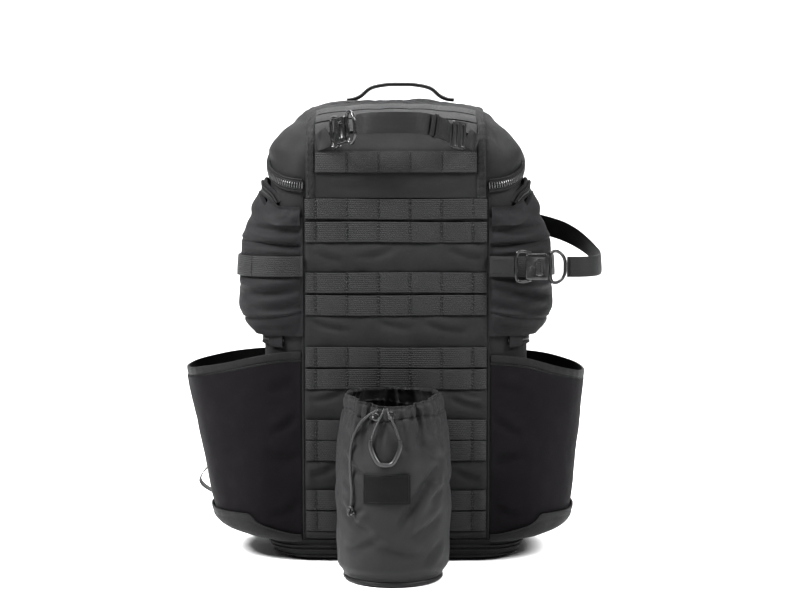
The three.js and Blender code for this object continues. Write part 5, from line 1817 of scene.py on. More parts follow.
    def flap(self) -> None:
        """Builds the cloth flap that the zip's front end runs in under."""
        u, v = np.meshgrid(np.linspace(0.03, 0.34, 30), np.linspace(0, 1, 22))
        top = self.top(u)
        z = top + lerp(-9, 11, v)
        edge = self.outer(u, np.minimum(z, top))
        off = lerp(edge + 1.4, 2.2 + 5 * smooth(0.2, 0.34, u), smooth(0, 9, z - top))
        fold = 0.8 * ripple(stacked(u * 150, z, 0), 9, 2.7)
        hem = bump(0.03, 0.03, v) + bump(0.97, 0.03, v)
        outer = self.over(u, z, off + 1.4 + fold + 0.5 * hem)
        inner = self.over(u, z, off + fold)
        dress(wall(f"zip_flap_{self.side.word}", outer, inner), DOOR_NYLON)

    def pull(self) -> None:
        """Builds the slider on the rear run of the zip and the cord that hangs from it."""
        name = self.side.word
        x, y, z = SHELL.point(self.zip_rear, 0.5625 * SHELL.height, 5.4)
        loop = curve_points([
            (x, y, z + 1), (x + 1.3, y + 0.3, z - 5), (x + 1.6, y + 0.6, z - 12),
            (x + 1.4, y + 0.6, z - 19), (x + 1.4, y - 0.6, z - 19.8), (x + 0.4, y - 0.9, z - 18),
            (x - 0.4, y - 0.8, z - 11), (x - 0.6, y - 0.4, z - 4), (x, y, z + 1),
        ], 60)
        piece = skin(f"zip_cord_{name}", mirrored(tube_rings(loop[:-1], 1.0, 8, True), self.side),
                     closed=True)
        dress(piece, CORD, f"zip_pull_{name}")
        run = np.array([(x - 0.8, y - 0.3, z + 12), (x - 0.6, y - 0.3, z + 5), (x - 0.3, y, z)])
        rings, shares = strap_rings(curve_points(run, 8), np.tile([1, 0.5, 0], (9, 1)), 7.0, 2.6)
        slider = skin(f"zip_slider_{name}", mirrored(rings, self.side), shares=shares)
        dress(slider, METAL)

    def build(self) -> None:
        """Builds the whole door."""
        self.cloth()
        self.webbing()
        self.zip()


# ---- side pockets --------------------------------------------------------------------

POCKET_PLAN = np.array([
    (-0.42, -0.985), (0, -0.985), (0.42, -0.86), (0.84, -0.58), (1, -0.16), (0.93, 0.26),
    (0.55, 0.62), (0, 0.83),
])


@dataclass
class SidePocket:
    """An open pocket of stretch cloth, with its rim and the patch round its foot."""

    side: Side
    rim_bulge: float
    foot_bulge: float
    rim_front: float
    rim_outer: float
    low: float = 26.0
    roll: float = 20.0
    foot: float = 0.4
    standoff: float = 1.4
    rear: float = 3.3
    band: float = 11.0

    def rim(self, u: Array) -> Array:
        """The height of the rim."""
        return lerp(self.rim_front, self.rim_outer, smooth(0, 0.55, u)) + 12 * smooth(0.6, 1, u)

    def plan(self, u: Array) -> tuple[Array, Array]:
        """Reads the pocket's plan.

        Args:
            u: the shares along the rim.

        Returns:
            The shares of the reach outwards and of the depth.
        """
        line = spline(POCKET_PLAN, 40)
        at = np.linspace(0, 1, len(line))
        return np.interp(u, at, line[:, 0]), np.interp(u, at, line[:, 1])

    def sheet(self, u: Array, v: Array, top: Array) -> Array:
        """Places points on the pocket's outer face.

        Args:
            u: from 0 at the front seam to 1 at the rear one.
            v: from 0 at the foot's seam, round the foot, to 1 at the top.
            top: the top's height at each u.

        Returns:
            The points, on the right side of the bag.
        """
        turning = np.minimum(1, v / self.foot) * QUARTER
        climb = np.maximum(0, (v - self.foot) / (1 - self.foot))
        z = self.low + self.roll * (1 - np.cos(turning)) + (top - self.low - self.roll) * climb
        front = float(SHELL.zone_at(103.0, self.low))
        seam = SHELL.point(lerp(front, self.rear, u), z, self.standoff)
        wide, ahead, behind, _, _ = SHELL.section(z)
        bulge = lerp(self.foot_bulge, self.rim_bulge, climb)
        out, depth = self.plan(u)
        reach = np.where(out < 0, out * (wide - 103) / 0.42, out * bulge)
        y = depth * np.where(depth < 0, ahead + self.standoff, behind)
        far = np.stack([wide + self.standoff + reach, y, z], axis=-1)
        return seam + (far - seam) * np.sin(turning)[..., None]

    def layer(self, name: str, grid: Array, start: float, thick: Number) -> bpy.types.Object:
        """Makes a layer of cloth on a grid.

        Args:
            name: the piece's name.
            grid: points on the pocket's outer face.
            start: how far off them the layer starts.
            thick: how thick it is.

        Returns:
            The new object.
        """
        normals = outward_normals(grid)
        outer = grid + normals * np.asarray(start + thick)[..., None]
        inner = grid + normals * start
        return wall(name, mirrored(outer, self.side), mirrored(inner, self.side))

    def build(self) -> None:
        """Builds the cloth, the rim with its stitches, and the boot."""
        name = self.side.word
        u, v = np.meshgrid(np.linspace(0, 1, 90), np.linspace(0.002, 1, 84))
        rim = self.rim(u)
        grid = self.sheet(u, v, rim - self.band + 0.5)
        girth, up = u * 270, v * 240
        folds = [(4, 190, 30, 176, 4, 1.8), (2, 150, 34, 158, 5, 1.9), (3, 110, 30, 100, 4, 1.7),
                 (6, 222, 34, 214, 5, 1.2), (60, 44, 76, 84, 6, 1.2), (110, 40, 118, 80, 7, 1.2),
                 (160, 44, 152, 84, 6, 1.2), (196, 48, 206, 92, 7, 1.3)]
        edge = hem_in(0.02, u) * smooth(0, 0.03, v) * smooth(0, 0.04, 1 - v)
        relief = edge * (creases(girth, up, folds) + 0.55 * ripple(grid, 38, 3.7)
                         + 0.2 * ripple(grid, 12, 8.9))
        cloth = self.layer(f"pocket_cloth_{name}", grid, -2.0, 2.0 + relief)
        dress(cloth, STRETCH, f"side_pocket_{name}")

        whole = 1 - (1 - self.foot) * self.band / (rim[0] - self.low - self.roll)
        band_u, s = np.meshgrid(np.linspace(0, 1, 150), np.linspace(0, 1, 12))
        band_v = lerp(np.interp(band_u, u[0], whole), 1, s)
        band = self.sheet(band_u, band_v, self.rim(band_u))
        fat = 2.3 + 0.6 * np.sin(np.pi * s) ** 0.5 - 1.0 * bump(0.2, 0.06, s)
        fat = fat + 0.12 * np.sin(band_u * 150)
        hem = self.layer(f"pocket_hem_{name}", band, -2.2, fat)
        dress(hem, BINDING, f"pocket_rim_{name}")
        normals = outward_normals(band)
        seam = mirrored(band[2] + normals[2] * 0.5, self.side)
        looks = mirrored(normals[2], self.side)
        lay_run(f"pocket_stitches_{name}", Repeat.STITCH, [(seam, looks)], THREAD, 3.0, 2.2, 0.8,
                0.7)
        self.boot(name)

    def boot(self, name: str) -> None:
        """Builds the patch round the pocket's foot, sewn along its curved top.

        Args:
            name: the side's name.
        """
        u, s = np.meshgrid(np.linspace(0, 1, 80), np.linspace(0, 1, 40))
        top = lerp(0.2, 0.43, smooth(0, 0.24, u))
        grid = self.sheet(u, lerp(0.01, top, s), self.rim(u) - self.band - 0.9)
        rise = 1.5 + 0.5 * bump(0.975, 0.02, s) - 0.4 * bump(0.93, 0.012, s)
        rise = rise + 0.35 * ripple(grid, 22, 6.6) * hem_in(0.1, s)
        piece = self.layer(f"pocket_patch_{name}", grid, 1.8, rise)
        dress(piece, SHELL_NYLON, f"pocket_boot_{name}")


# ---- the drawstring cup --------------------------------------------------------------

CUP_SECTIONS = np.array([
    (0.04, 0.86, 0), (0.1, 0.97, 0), (0.55, 1, 0.005), (0.75, 0.965, 0.015),
    (0.88, 0.9, 0.035), (0.95, 0.82, 0.06), (1, 0.8, 0.07),
])


@dataclass
class DrawstringCup:
    """The soft cup on the front, gathered at its mouth, with its tab and bare label."""

    height: float = 199.0
    radius: float = 61.0
    middle: float = -3.0
    back: float = -109.7
    wall: float = 1.6
    base: float = 6.0
    casing: float = 17.0
    puckers: int = 34

    @property
    def depth(self) -> float:
        """Where the cup's middle lies in depth."""
        return self.back - self.radius

    def front(self, x: Array, z: Array, off: Array | float) -> Array:
        """Places points on the front of the cup.

        Args:
            x: the distances from the bag's middle.
            z: the heights.
            off: how far off the cup they are.

        Returns:
            The points.
        """
        r = self.radius * table_value(CUP_SECTIONS, 1, np.asarray(z) / self.height) + off
        y = self.depth - np.sqrt(r**2 - (np.asarray(x) - self.middle) ** 2)
        return np.stack(np.broadcast_arrays(x, y, z), axis=-1)

    def relief(self, angle: Array, z: Array) -> Array:
        """The wrinkles, the casing and the puckers, as a distance off the plain form.

        Args:
            angle: round the cup from its right side, in radians.
            z: the height.

        Returns:
            The distance.
        """
        turn = np.mod(angle + 1.5 * math.pi, 2 * math.pi) - math.pi
        girth = turn * self.radius
        folds = [
            (58, 130, 6, 60, 5, 4.6), (26, 156, 66, 132, 5, 3.0), (-64, 138, -30, 116, 5, 3.0),
            (16, 52, 66, 80, 5, 3.2), (-68, 86, -24, 58, 5, 3.4), (-24, 48, 36, 34, 5, 2.4),
            (-56, 38, -10, 54, 4, 2.2), (64, 46, 34, 24, 5, 2.4), (44, 168, 72, 150, 5, 2.4),
            (-72, 166, -40, 146, 5, 2.6), (40, 92, 66, 104, 4, 2.4), (-30, 84, -50, 70, 3.5, 2.0),
            (84, 110, 120, 92, 7, 2.2), (-90, 112, -124, 86, 7, 2.2),
            (96, 60, 140, 72, 7, 2.0), (-100, 54, -142, 70, 7, 2.0), (36, 108, 60, 98, 4, 1.4),
            (-44, 102, -62, 112, 4, 1.3), (0, 152, 30, 142, 4, 1.0),
        ]
        body = creases(girth, z, folds) * smooth(8, 24, z) * (1 - smooth(150, 176, z))
        rough = 0.9 * ripple(stacked(girth, z, 0), 26, 5.5)
        body = body + rough * smooth(8, 24, z) * (1 - smooth(160, 182, z))
        share = z / self.height
        pucker = smooth(0.8, 0.92, share)
        wave = np.cos(angle * self.puckers + 1.4 * np.sin(3 * angle) + 0.8 * np.sin(7 * angle + 1))
        deep = 0.6 + 0.4 * np.sin(5 * angle + 0.6)
        low = self.height - self.casing + 2.5 * np.sin(4 * angle)
        seam = bump(low, 1.6, z) + 0.8 * bump(self.height - 2.5, 1.2, z)
        belly = 1.8 * np.sin(np.pi * np.clip((z - low) / self.casing, 0, 1))
        tucks = -2.6 * smooth(128, 172, z) * sum(bump(at, wide, girth) for at, wide in (
            (-34, 4), (-12, 3.4), (14, 3.6), (33, 4), (-58, 5), (60, 5)))
        away = body + pucker * 1.9 * deep * wave + belly - 1.1 * seam + tucks
        under_cords = smooth(46, 34, np.abs(girth + 10)) * smooth(84, 92, z)
        return np.where(away > 0.8, lerp(away, 0.8, under_cords), away)

    def cloth(self) -> None:
        """Builds the cup, with its casing turned in at the mouth."""
        angle = circle(340) - QUARTER
        share = np.concatenate([np.linspace(0.04, 0.8, 96), np.linspace(0.8, 1, 50)[1:]])[:, None]
        a = angle[None, :] + 0 * share
        s = share + 0 * a
        radius = self.radius * table_value(CUP_SECTIONS, 1, s)
        gather = table_value(CUP_SECTIONS, 2, s) * 0.6 * np.cos(11 * a + 1)
        dip = 9 * smooth(0.75, 1, s) * np.maximum(0, -np.sin(a)) ** 2
        z = s * self.height - dip
        z[0] = self.base + GAP
        flat = smooth(0.05, 0.9, np.sin(a))
        away = self.relief(a, s * self.height)
        away = np.where(away > 0, away * (1 - 0.8 * flat), away)
        r = radius * (1 + gather) + away * smooth(0.03, 0.08, s)
        bound = np.where(np.sin(a) > 0.05, (self.radius - 0.4) / np.maximum(np.sin(a), 0.05), 1e3)
        r = np.minimum(r, bound)

        outer = self.round(a, r, z)
        inner = self.round(a, r - self.wall - 1.2 * bump(0.985, 0.02, s), z)
        inner[0, :, 2] += self.wall
        piece = wall("cup_cloth", outer, inner, wrap=True)
        dress(piece, CUP_NYLON, "cup")
        low, high = (np.array([self.floor(k, self.base + up) for k in (0.86, 0.6, 0.3, 0.05)])
                     for up in (GAP, 2.0))
        dress(wall("cup_floor", low, high, wrap=True), CUP_NYLON)
        self.hem(angle)

    def floor(self, share: float, z: float) -> Array:
        """A ring of the cup's floor at a share of its radius."""
        return self.round(circle(120), self.radius * share - 1.0, z)

    def round(self, angle: Array, r: Number, z: Number) -> Array:
        """Points round the cup's middle, by angle, radius and height."""
        return stacked(self.middle + r * np.cos(angle), self.depth + r * np.sin(angle), z)

    def hem(self, angle: Array) -> None:
        """Sews the casing down along its lower edge.

        Args:
            angle: even angles once round.
        """
        z = np.full(len(angle), self.height - self.casing)
        r = self.radius * table_value(CUP_SECTIONS, 1, z / self.height)
        r = r * (1 + table_value(CUP_SECTIONS, 2, z / self.height) * 0.6 * np.cos(11 * angle + 1))
        r = r + self.relief(angle, z) + 0.15
        keep = np.sin(angle) < 0.45
        dip = 9 * smooth(0.75, 1, z / self.height) * np.maximum(0, -np.sin(angle)) ** 2
        line = self.round(angle, r, z - dip)
        looks = stacked(np.cos(angle), np.sin(angle), 0)
        order = np.flatnonzero(keep)[np.argsort(np.mod(
            angle[keep] + math.pi * 1.5, 2 * math.pi))]
        lay_run("cup_stitches", Repeat.STITCH, [(line[order], looks[order])], THREAD, 3.4, 2.5,
                0.8, 0.7)

    def bottom(self) -> None:
        """Builds the thick disc that the cup stands on."""
        rings = [self.round(circle(160), self.radius * 0.86 * share, z) for share, z in (
            (0.3, 0.1), (0.8, 0.1), (0.92, 0.3), (0.985, 1.2), (1.012, 2.6), (1.015, 4.4),
            (1.0, 5.6), (0.97, 6.0), (0.6, 6.0), (0.2, 6.0))]
        dress(skin("cup_foot", np.array(rings)), STRAP, "cup_base")

    def tab(self) -> None:
        """Builds the webbing tab that ties the cup to the panel."""
        z = np.linspace(60, 170, 40)
        line = stacked(self.middle, self.back + 1.5, z)
        strap("cup_tie", line, FORWARD, 24, 2.3, STRAP, "cup_tab")

    def label(self) -> None:
        """Builds the bare woven label and the stitches round it."""
        x, z = np.meshgrid(self.middle - 6 + np.linspace(-24.5, 24.5, 60),
                           np.linspace(90, 121, 40))
        inset = np.minimum(24.5 - np.abs(x - self.middle + 6), 15.5 - np.abs(z - 105.5))
        rise = 0.8 * smooth(-0.4, 0.9, inset) + 0.35 * smooth(2.2, 3.0, inset)
        rise = rise - 0.35 * bump(2.0, 0.5, inset)
        sag = 0.5 * ripple(stacked(x, 0, z), 18, 2.2)
        outer = self.front(x, z, 1.4 + rise + sag)
        dress(wall("label", outer, self.front(x, z, 0.6 + sag)), LABEL, "cup_patch")
        left, right = self.middle - 6 - 22.5, self.middle - 6 + 22.5
        corners = [(left, 92), (right, 92), (right, 119), (left, 119), (left, 92)]
        lines = []
        for (x0, z0), (x1, z1) in zip(corners, corners[1:]):
            s = np.linspace(0, 1, 26)
            line = self.front(lerp(x0, x1, s), lerp(z0, z1, s), 2.35)
            lines.append((line, unit(line - [self.middle, self.depth, 0]) * [1, 1, 0]))
        lay_run("label_stitches", Repeat.STITCH, lines, THREAD, 2.4, 1.7, 0.6, 0.5)

    def eyelets(self) -> None:
        """Builds the two bound eyelets that the cord leaves the casing by."""
        for k, (x, z) in enumerate(((-20.5, 187.5), (-4.5, 188.5)), 1):
            turn = circle(26)
            ring = self.front(x + 3.4 * np.cos(turn), z - 7.0 + 3.4 * np.sin(turn), 3.0)
            dress(skin(f"eyelet_{k}", tube_rings(ring, 1.0, 8, True), closed=True), METAL)

    def build(self) -> None:
        """Builds the whole cup."""
        self.cloth()
        self.bottom()
        self.tab()
        self.label()
        self.eyelets()


@dataclass
class CupCords:
    """The drawcord's tail with its knot, and the loop that carries the plastic hook."""

    cup: DrawstringCup
    radius: float = 1.5
    loop_radius: float = 1.2
    hook_middle: float = -10.5
    hook_half: float = 15.0
    hook_top: float = 158.5
    hook_low: float = 131.5
    wire: float = 2.4
    route: list = field(default_factory=lambda: [
        (-18.5, 3.4, 187), (-22, 3.5, 185), (-25.5, 3.4, 183), (-29.5, 3.2, 180),
        (-33.5, 3.0, 176.5), (-37.5, 2.8, 171.5), (-41, 2.7, 165), (-43.8, 2.6, 158),
        (-45.8, 2.6, 150), (-47, 2.6, 141), (-47.4, 2.6, 132), (-47.2, 2.7, 123),
        (-46.4, 2.8, 114), (-45.6, 3.0, 106), (-45.4, 3.2, 99), (-45.8, 3.6, 92), (-46.6, 4.2, 86),
    ])
    loop: list = field(default_factory=lambda: [
        (-11.6, 4.4, 189), (-13.6, 4.4, 184), (-16.8, 4, 178), (-20, 3.6, 171),
        (-22.8, 3.4, 163.5), (-24.8, 3.4, 157.5),
    ])

    def laid(self, route: Sequence[Sequence[float]], steps: int) -> Array:
        """A smooth line through places given by x, stand-off from the cup and height."""
        places = [self.cup.front(np.array(x), np.array(z), off) for x, off, z in route]
        return curve_points(np.array(places), steps)

    def tail(self) -> None:
        """Builds the drawcord's tail and its knot."""
        line = self.laid(self.route, 120)
        cord = skin("drawcord_tail", tube_rings(line, self.radius, 12))
        dress(cord, CORD, "drawcord")
        end = line[-1]
        turn = circle(90)
        winding = np.stack([
            end[0] + 2.5 * np.cos(2 * turn) * (1 + 0.35 * np.cos(3 * turn)),
            end[1] + 1.6 * np.sin(3 * turn) - 0.2,
            end[2] - 5.4 + 3.6 * np.sin(2 * turn) * (1 + 0.3 * np.cos(3 * turn)),
        ], axis=-1)
        knot = skin("tail_knot", tube_rings(winding, 1.35, 10, True), closed=True)
        dress(knot, CORD, "drawcord_knot")

    def hook_loop(self) -> None:
        """Builds the two legs of the short loop and the hook that hangs from them."""
        rim = self.hook()
        for side in Side:
            route = [(self.hook_middle + side.value * (self.hook_middle - x), off, z)
                     for x, off, z in self.loop]
            line = self.laid(route, 40)
            leg = skin(f"hook_leg_{side.word}", tube_rings(line, self.loop_radius, 10))
            dress(leg, CORD, "hook_cord")

    def hook(self) -> bpy.types.Object:
        """Builds the moulded hook."""
        w, top, low = self.hook_half, self.hook_top, self.hook_low
        corners = [
            (-w, top - 2), (-w, top - 9), (-w * 0.72, low + 7), (-w * 0.42, low + 1), (0, low),
            (w * 0.42, low + 1), (w * 0.72, low + 7), (w, top - 9), (w, top - 2),
        ]
        line = self.laid([(self.hook_middle + x, 3.4, z) for x, z in corners], 70)
        radius = self.wire * (0.86 + 0.1 * np.sin(np.pi * np.linspace(0, 1, 71)))
        hook = skin("hook_bow", tube_rings(line, radius, 14))
        return dress(hook, PLASTIC, "cup_hook")


# ---- straps and buckles --------------------------------------------------------------


@dataclass
class HookBuckle:
    """A stamped plate with a bent wire bar, and the wire ring that it hooks into."""

    name: str
    turn: Array
    at: Sequence[float]
    length: float = 24.0
    width: float = 29.0
    thick: float = 5.0
    wire: float = 1.9
    reach: float = 10.0
    ring_start: float = 27.0
    ring_end: float = 42.6
    ring_width: float = 38.0

    def moved(self, points: Array) -> Array:
        """Points in the buckle's own frame, put in place."""
        return points @ self.turn.T + np.asarray(self.at, float)

    def build(self) -> None:
        """Builds the plate, the bar and the ring."""
        half = self.width / 2
        body = plate(f"{self.name}_body", self.length / 2, half, self.thick / 2, 3.2, 1.1,
                     holes=((3.2, 0, 3.6, 8.5),))
        placed(body, np.eye(3), (self.length / 2, 0, 0))
        dress(placed(body, self.turn, self.at), METAL, f"{self.name}_plate")
        edge, far = half + self.wire, self.reach
        loop = curve_points([
            (6, 0, edge - 2), (-3, 0, edge), (1.5 - far, 0, edge - 1), (-far, 0, edge - 5),
            (-far, 0, 0), (-far, 0, 5 - edge), (1.5 - far, 0, 1 - edge), (-3, 0, -edge),
            (6, 0, 2 - edge),
        ], 90)
        bar = skin(f"{self.name}_bar", tube_rings(self.moved(loop), self.wire, 14))
        dress(bar, METAL)
        start, end = self.ring_start, self.ring_end
        outer = self.ring_width / 2 - self.wire
        loop = curve_points([
            (start, 0, 0), (start, 0, outer - 5), (start + 2, 0, outer - 1), (start + 6, 0, outer),
            (end - 4, 0, outer - 3), (end - 0.5, 0, outer - 9), (end, 0, 0),
            (end - 0.5, 0, 9 - outer), (end - 4, 0, 3 - outer), (start + 6, 0, -outer),
            (start + 2, 0, 1 - outer), (start, 0, 5 - outer),
        ], 110, closed=True)
        rings = tube_rings(self.moved(loop), self.wire, 14, True)
        ring = skin(f"{self.name}_loop", rings, closed=True)
        dress(ring, METAL, f"{self.name}_ring")


def ladder_lock(name: str, turn: Array, at: Sequence[float], node: str) -> None:
    """Builds a ladder lock with two slots.

    Args:
        name: the piece's name.
        turn: how it is turned.
        at: where its middle is.
        node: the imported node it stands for.
    """
    body = plate(name, 11, 15, 2.2, 3.4, 0.9, holes=((-5.5, 0, 2.25, 12), (5.5, 0, 2.25, 12)))
    dress(placed(body, turn, at), PLASTIC, node)
    for k, (x, lift) in enumerate(((-10.2, 1.3), (0.0, 1.5), (10.2, 1.3)), 1):
        z = np.linspace(-13.6, 13.6, 24)
        line = np.stack([np.full(24, x), np.full(24, -lift), z], axis=-1)
        line = (line @ np.asarray(turn).T) + np.asarray(at, float)
        dress(skin(f"{name}_rib_{k}", tube_rings(line, 1.5, 10)), PLASTIC)


@dataclass
class SideStrap:
    """The strap on the right, from the panel's seam round the pocket's mouth to the rear."""

    height: float = 329.0
    reach: float = 82.0
    rise: float = 42.0
    web: float = 22.2
    thick: float = 1.6
    route: list = field(default_factory=lambda: [
        (0.684, -1.14, 0), (0.843, -1.059, 0), (0.952, -0.917, 0.012), (1.007, -0.741, 0.06),
        (1.001, -0.537, 0.155), (0.916, -0.312, 0.357), (0.77, -0.098, 0.595),
        (0.587, 0.119, 0.786), (0.391, 0.381, 0.905), (0.221, 0.595, 0.976), (0.099, 0.774, 1),
        (0.02, 0.868, 1), (-0.026, 0.93, 1), (-0.15, 0.973, 1),
    ])

    def build(self) -> None:
        """Builds the tab, the buckle and the strap."""
        wide, front, back, _, _ = (float(v) for v in SHELL.section(self.height))
        at = (wide - 3.4, -front - 16.5, self.height)
        HookBuckle("side_buckle", np.eye(3), at).build()
        seam = SHELL.face(102.6, self.height)
        root = np.array([seam[0], seam[1] - 7, self.height])
        tip = np.array([at[0] - 12.2, at[1] + 1, self.height])
        middle = lerp(root, tip, 0.25) - [0, 0.6, 0]
        line = curve_points([root, middle, tip], 24)
        strap("side_tab", line, (0, -1, 0), self.web, self.thick, STRAP, "side_strap_tab")
        places = [(at[0] + 44.8, at[1] + 0.4, self.height)]
        places += [(wide + out * self.reach, depth * (front if depth < 0 else back),
                    self.height + climb * self.rise) for out, depth, climb in self.route]
        line = curve_points(places, 190)
        looks = np.stack([line[:, 0] - wide + 14, line[:, 1] + 20, 0 * line[:, 2]], axis=-1)
        strap("side_band", line, looks, self.web, self.thick, STRAP, "side_strap")
        self.fold("side_fold", line, looks)
        bars = []
        for inset in (4.0, self.web - 4.0):
            x = np.linspace(0.12, 0.62, 30)
            run = root + (tip - root) * x[:, None]
            run[:, 2] += inset - self.web / 2
            run[:, 1] -= 1.9
            bars.append((run, FORWARD))
        lay_run("side_tab_stitches", Repeat.STITCH, bars, THREAD, 2.6, 1.9, 0.7, 0.6)

    def fold(self, name: str, line: Array, looks: Array) -> None:
        """Builds the strap's end, turned back through the ring and lying on the strap.

        Args:
            name: the piece's name.
            line: the strap's middle line.
            looks: the way it looks.
        """
        flap = line[2:30] + unit(looks[2:30]) * 1.9
        strap(name, flap, looks[2:30], self.web - 0.6, self.thick, STRAP)


@dataclass
class TopStrap:
    """The strap over the lid's front, which stands off in a bow."""

    web: float = 22.2
    thick: float = 1.6
    route: list = field(default_factory=lambda: [
        (-1, 45.5, 70.2, 18.9), (-1, 56.7, 79.1, 20.5), (-1, 76.7, 83.6, 21.4),
        (1, 76.7, 83.6, 21.4), (1, 58.7, 77.6, 20.7), (1, 44.7, 63.6, 17.7),
        (1, 34.7, 47.6, 14.2), (1, 28.3, 33.8, 10.9),
    ])

    def place(self, side: float, inward: float, out: float, up: float) -> Array:
        """Finds a place measured from the root of the tab on its side.

        Args:
            side: -1 for the left and 1 for the right.
            inward: how far towards the middle.
            out: how far forwards.
            up: how far up.

        Returns:
            The place.
        """
        seam = lid_face(0.985, 0.9082 * SHELL.height, 88.0, 0.0)
        return np.array([side * (seam[0] - inward), seam[1] - out, seam[2] + up])

    def tab(self, side: Side, inward: float, out: float, up: float) -> None:
        """Builds a tab from the lid's seam to its buckle.

        Args:
            side: its side.
            inward: how far its tip lies towards the middle.
            out: how far forwards.
            up: how far up.
        """
        root = self.place(side.value, 0, 3.32 + 3, 1)
        tip = self.place(side.value, inward, out, up)
        middle = lerp(root, tip, 0.4)
        middle[1] -= 1
        middle[2] = root[2] + 2
        line = curve_points([root, middle, tip], 20)
        strap(f"top_tab_{side.word}", line, (0, -1, 0.3), self.web - 2, self.thick, STRAP,
              f"strap_tab_{side.word}")

    def build(self) -> None:
        """Builds the tabs, the buckle, the lock and the strap with its turned-back end."""
        self.tab(Side.LEFT, 14.8, 16.9, 8.7)
        self.tab(Side.RIGHT, 9.7, 12.2, 6.7)
        turn = rotation(0, -0.15, -1.05, "ZYX")
        HookBuckle("top_buckle", turn, self.place(-1, 22.2, 29.6, 11.7)).build()
        at = self.place(1, 19.7, 24.1, 8.7)
        ladder_lock("top_lock", rotation(0, 0.1, 0.87, "ZYX"), at, "top_ladder_lock")
        line = curve_points([self.place(*p) for p in self.route], 150)
        looks = np.stack([line[:, 0], line[:, 1] + 95, 0 * line[:, 0]], axis=-1)
        strap("top_band", line, looks, self.web, self.thick, STRAP, "top_strap")
        out = unit(looks)
        flap = line[98:136] + out[98:136] * 2.0
        strap("top_band_end", flap, looks[98:136], self.web - 0.4, self.thick, STRAP)
        keeper = line[106:112] + out[106:112] * 1.1
        strap("top_keeper", keeper, looks[106:112], self.web + 3.0, 6.2, BINDING)


@dataclass
class Handle:
    """The carrying handle on top of the lid."""

    centre: float = 5.0
    half: float = 50.0
    rise: float = 17.0
    width: float = 22.0
    thick: float = 4.0
    depth: float = 44.0

    def crest(self) -> float:
        """The height of the handle's ends over the lid."""
        low, high = SHELL.seam_low, SHELL.height
        y = self.depth - self.width / 2
        for _ in range(40):
            z = (low + high) / 2
            wide, _, back, _, corner = (float(v) for v in SHELL.section(z))
            dx, dy = corner - wide, y - back + corner
            if max(dx, dy) < corner if not (dx > 0 and dy > 0) else math.hypot(dx, dy) < corner:
                low = z
            else:
                high = z
        return low + GAP + self.thick / 2 - 0.5

    def build(self) -> None:
        """Builds the handle, two layers thick, and the stitches along its edges."""
        across = [-1.24, -1.08, -0.92, -0.7, -0.36, 0, 0.36, 0.7, 0.92, 1.08, 1.24]
        up = [-0.05, 0, 0.2, 0.72, 0.96, 1, 0.96, 0.72, 0.2, 0, -0.05]
        crest = self.crest()
        line = curve_points([(self.centre + a * self.half, self.depth, crest + u * self.rise)
                             for a, u in zip(across, up)], 90)
        run = directions(line)
        looks = np.stack([-run[:, 2], 0 * run[:, 0], run[:, 0]], axis=-1)
        strap("handle_band", line, looks, self.width, self.thick, WEBBING, "top_handle")
        lines = []
        for y in (-self.width / 2 + 2.6, self.width / 2 - 2.6):
            lines.append((line[4:-4] + looks[4:-4] * (self.thick / 2) + [0, y, 0], looks[4:-4]))
        lay_run("handle_stitches", Repeat.STITCH, lines, THREAD, 2.8, 2.1, 0.7, 0.6)


# ---- the back and the harness --------------------------------------------------------


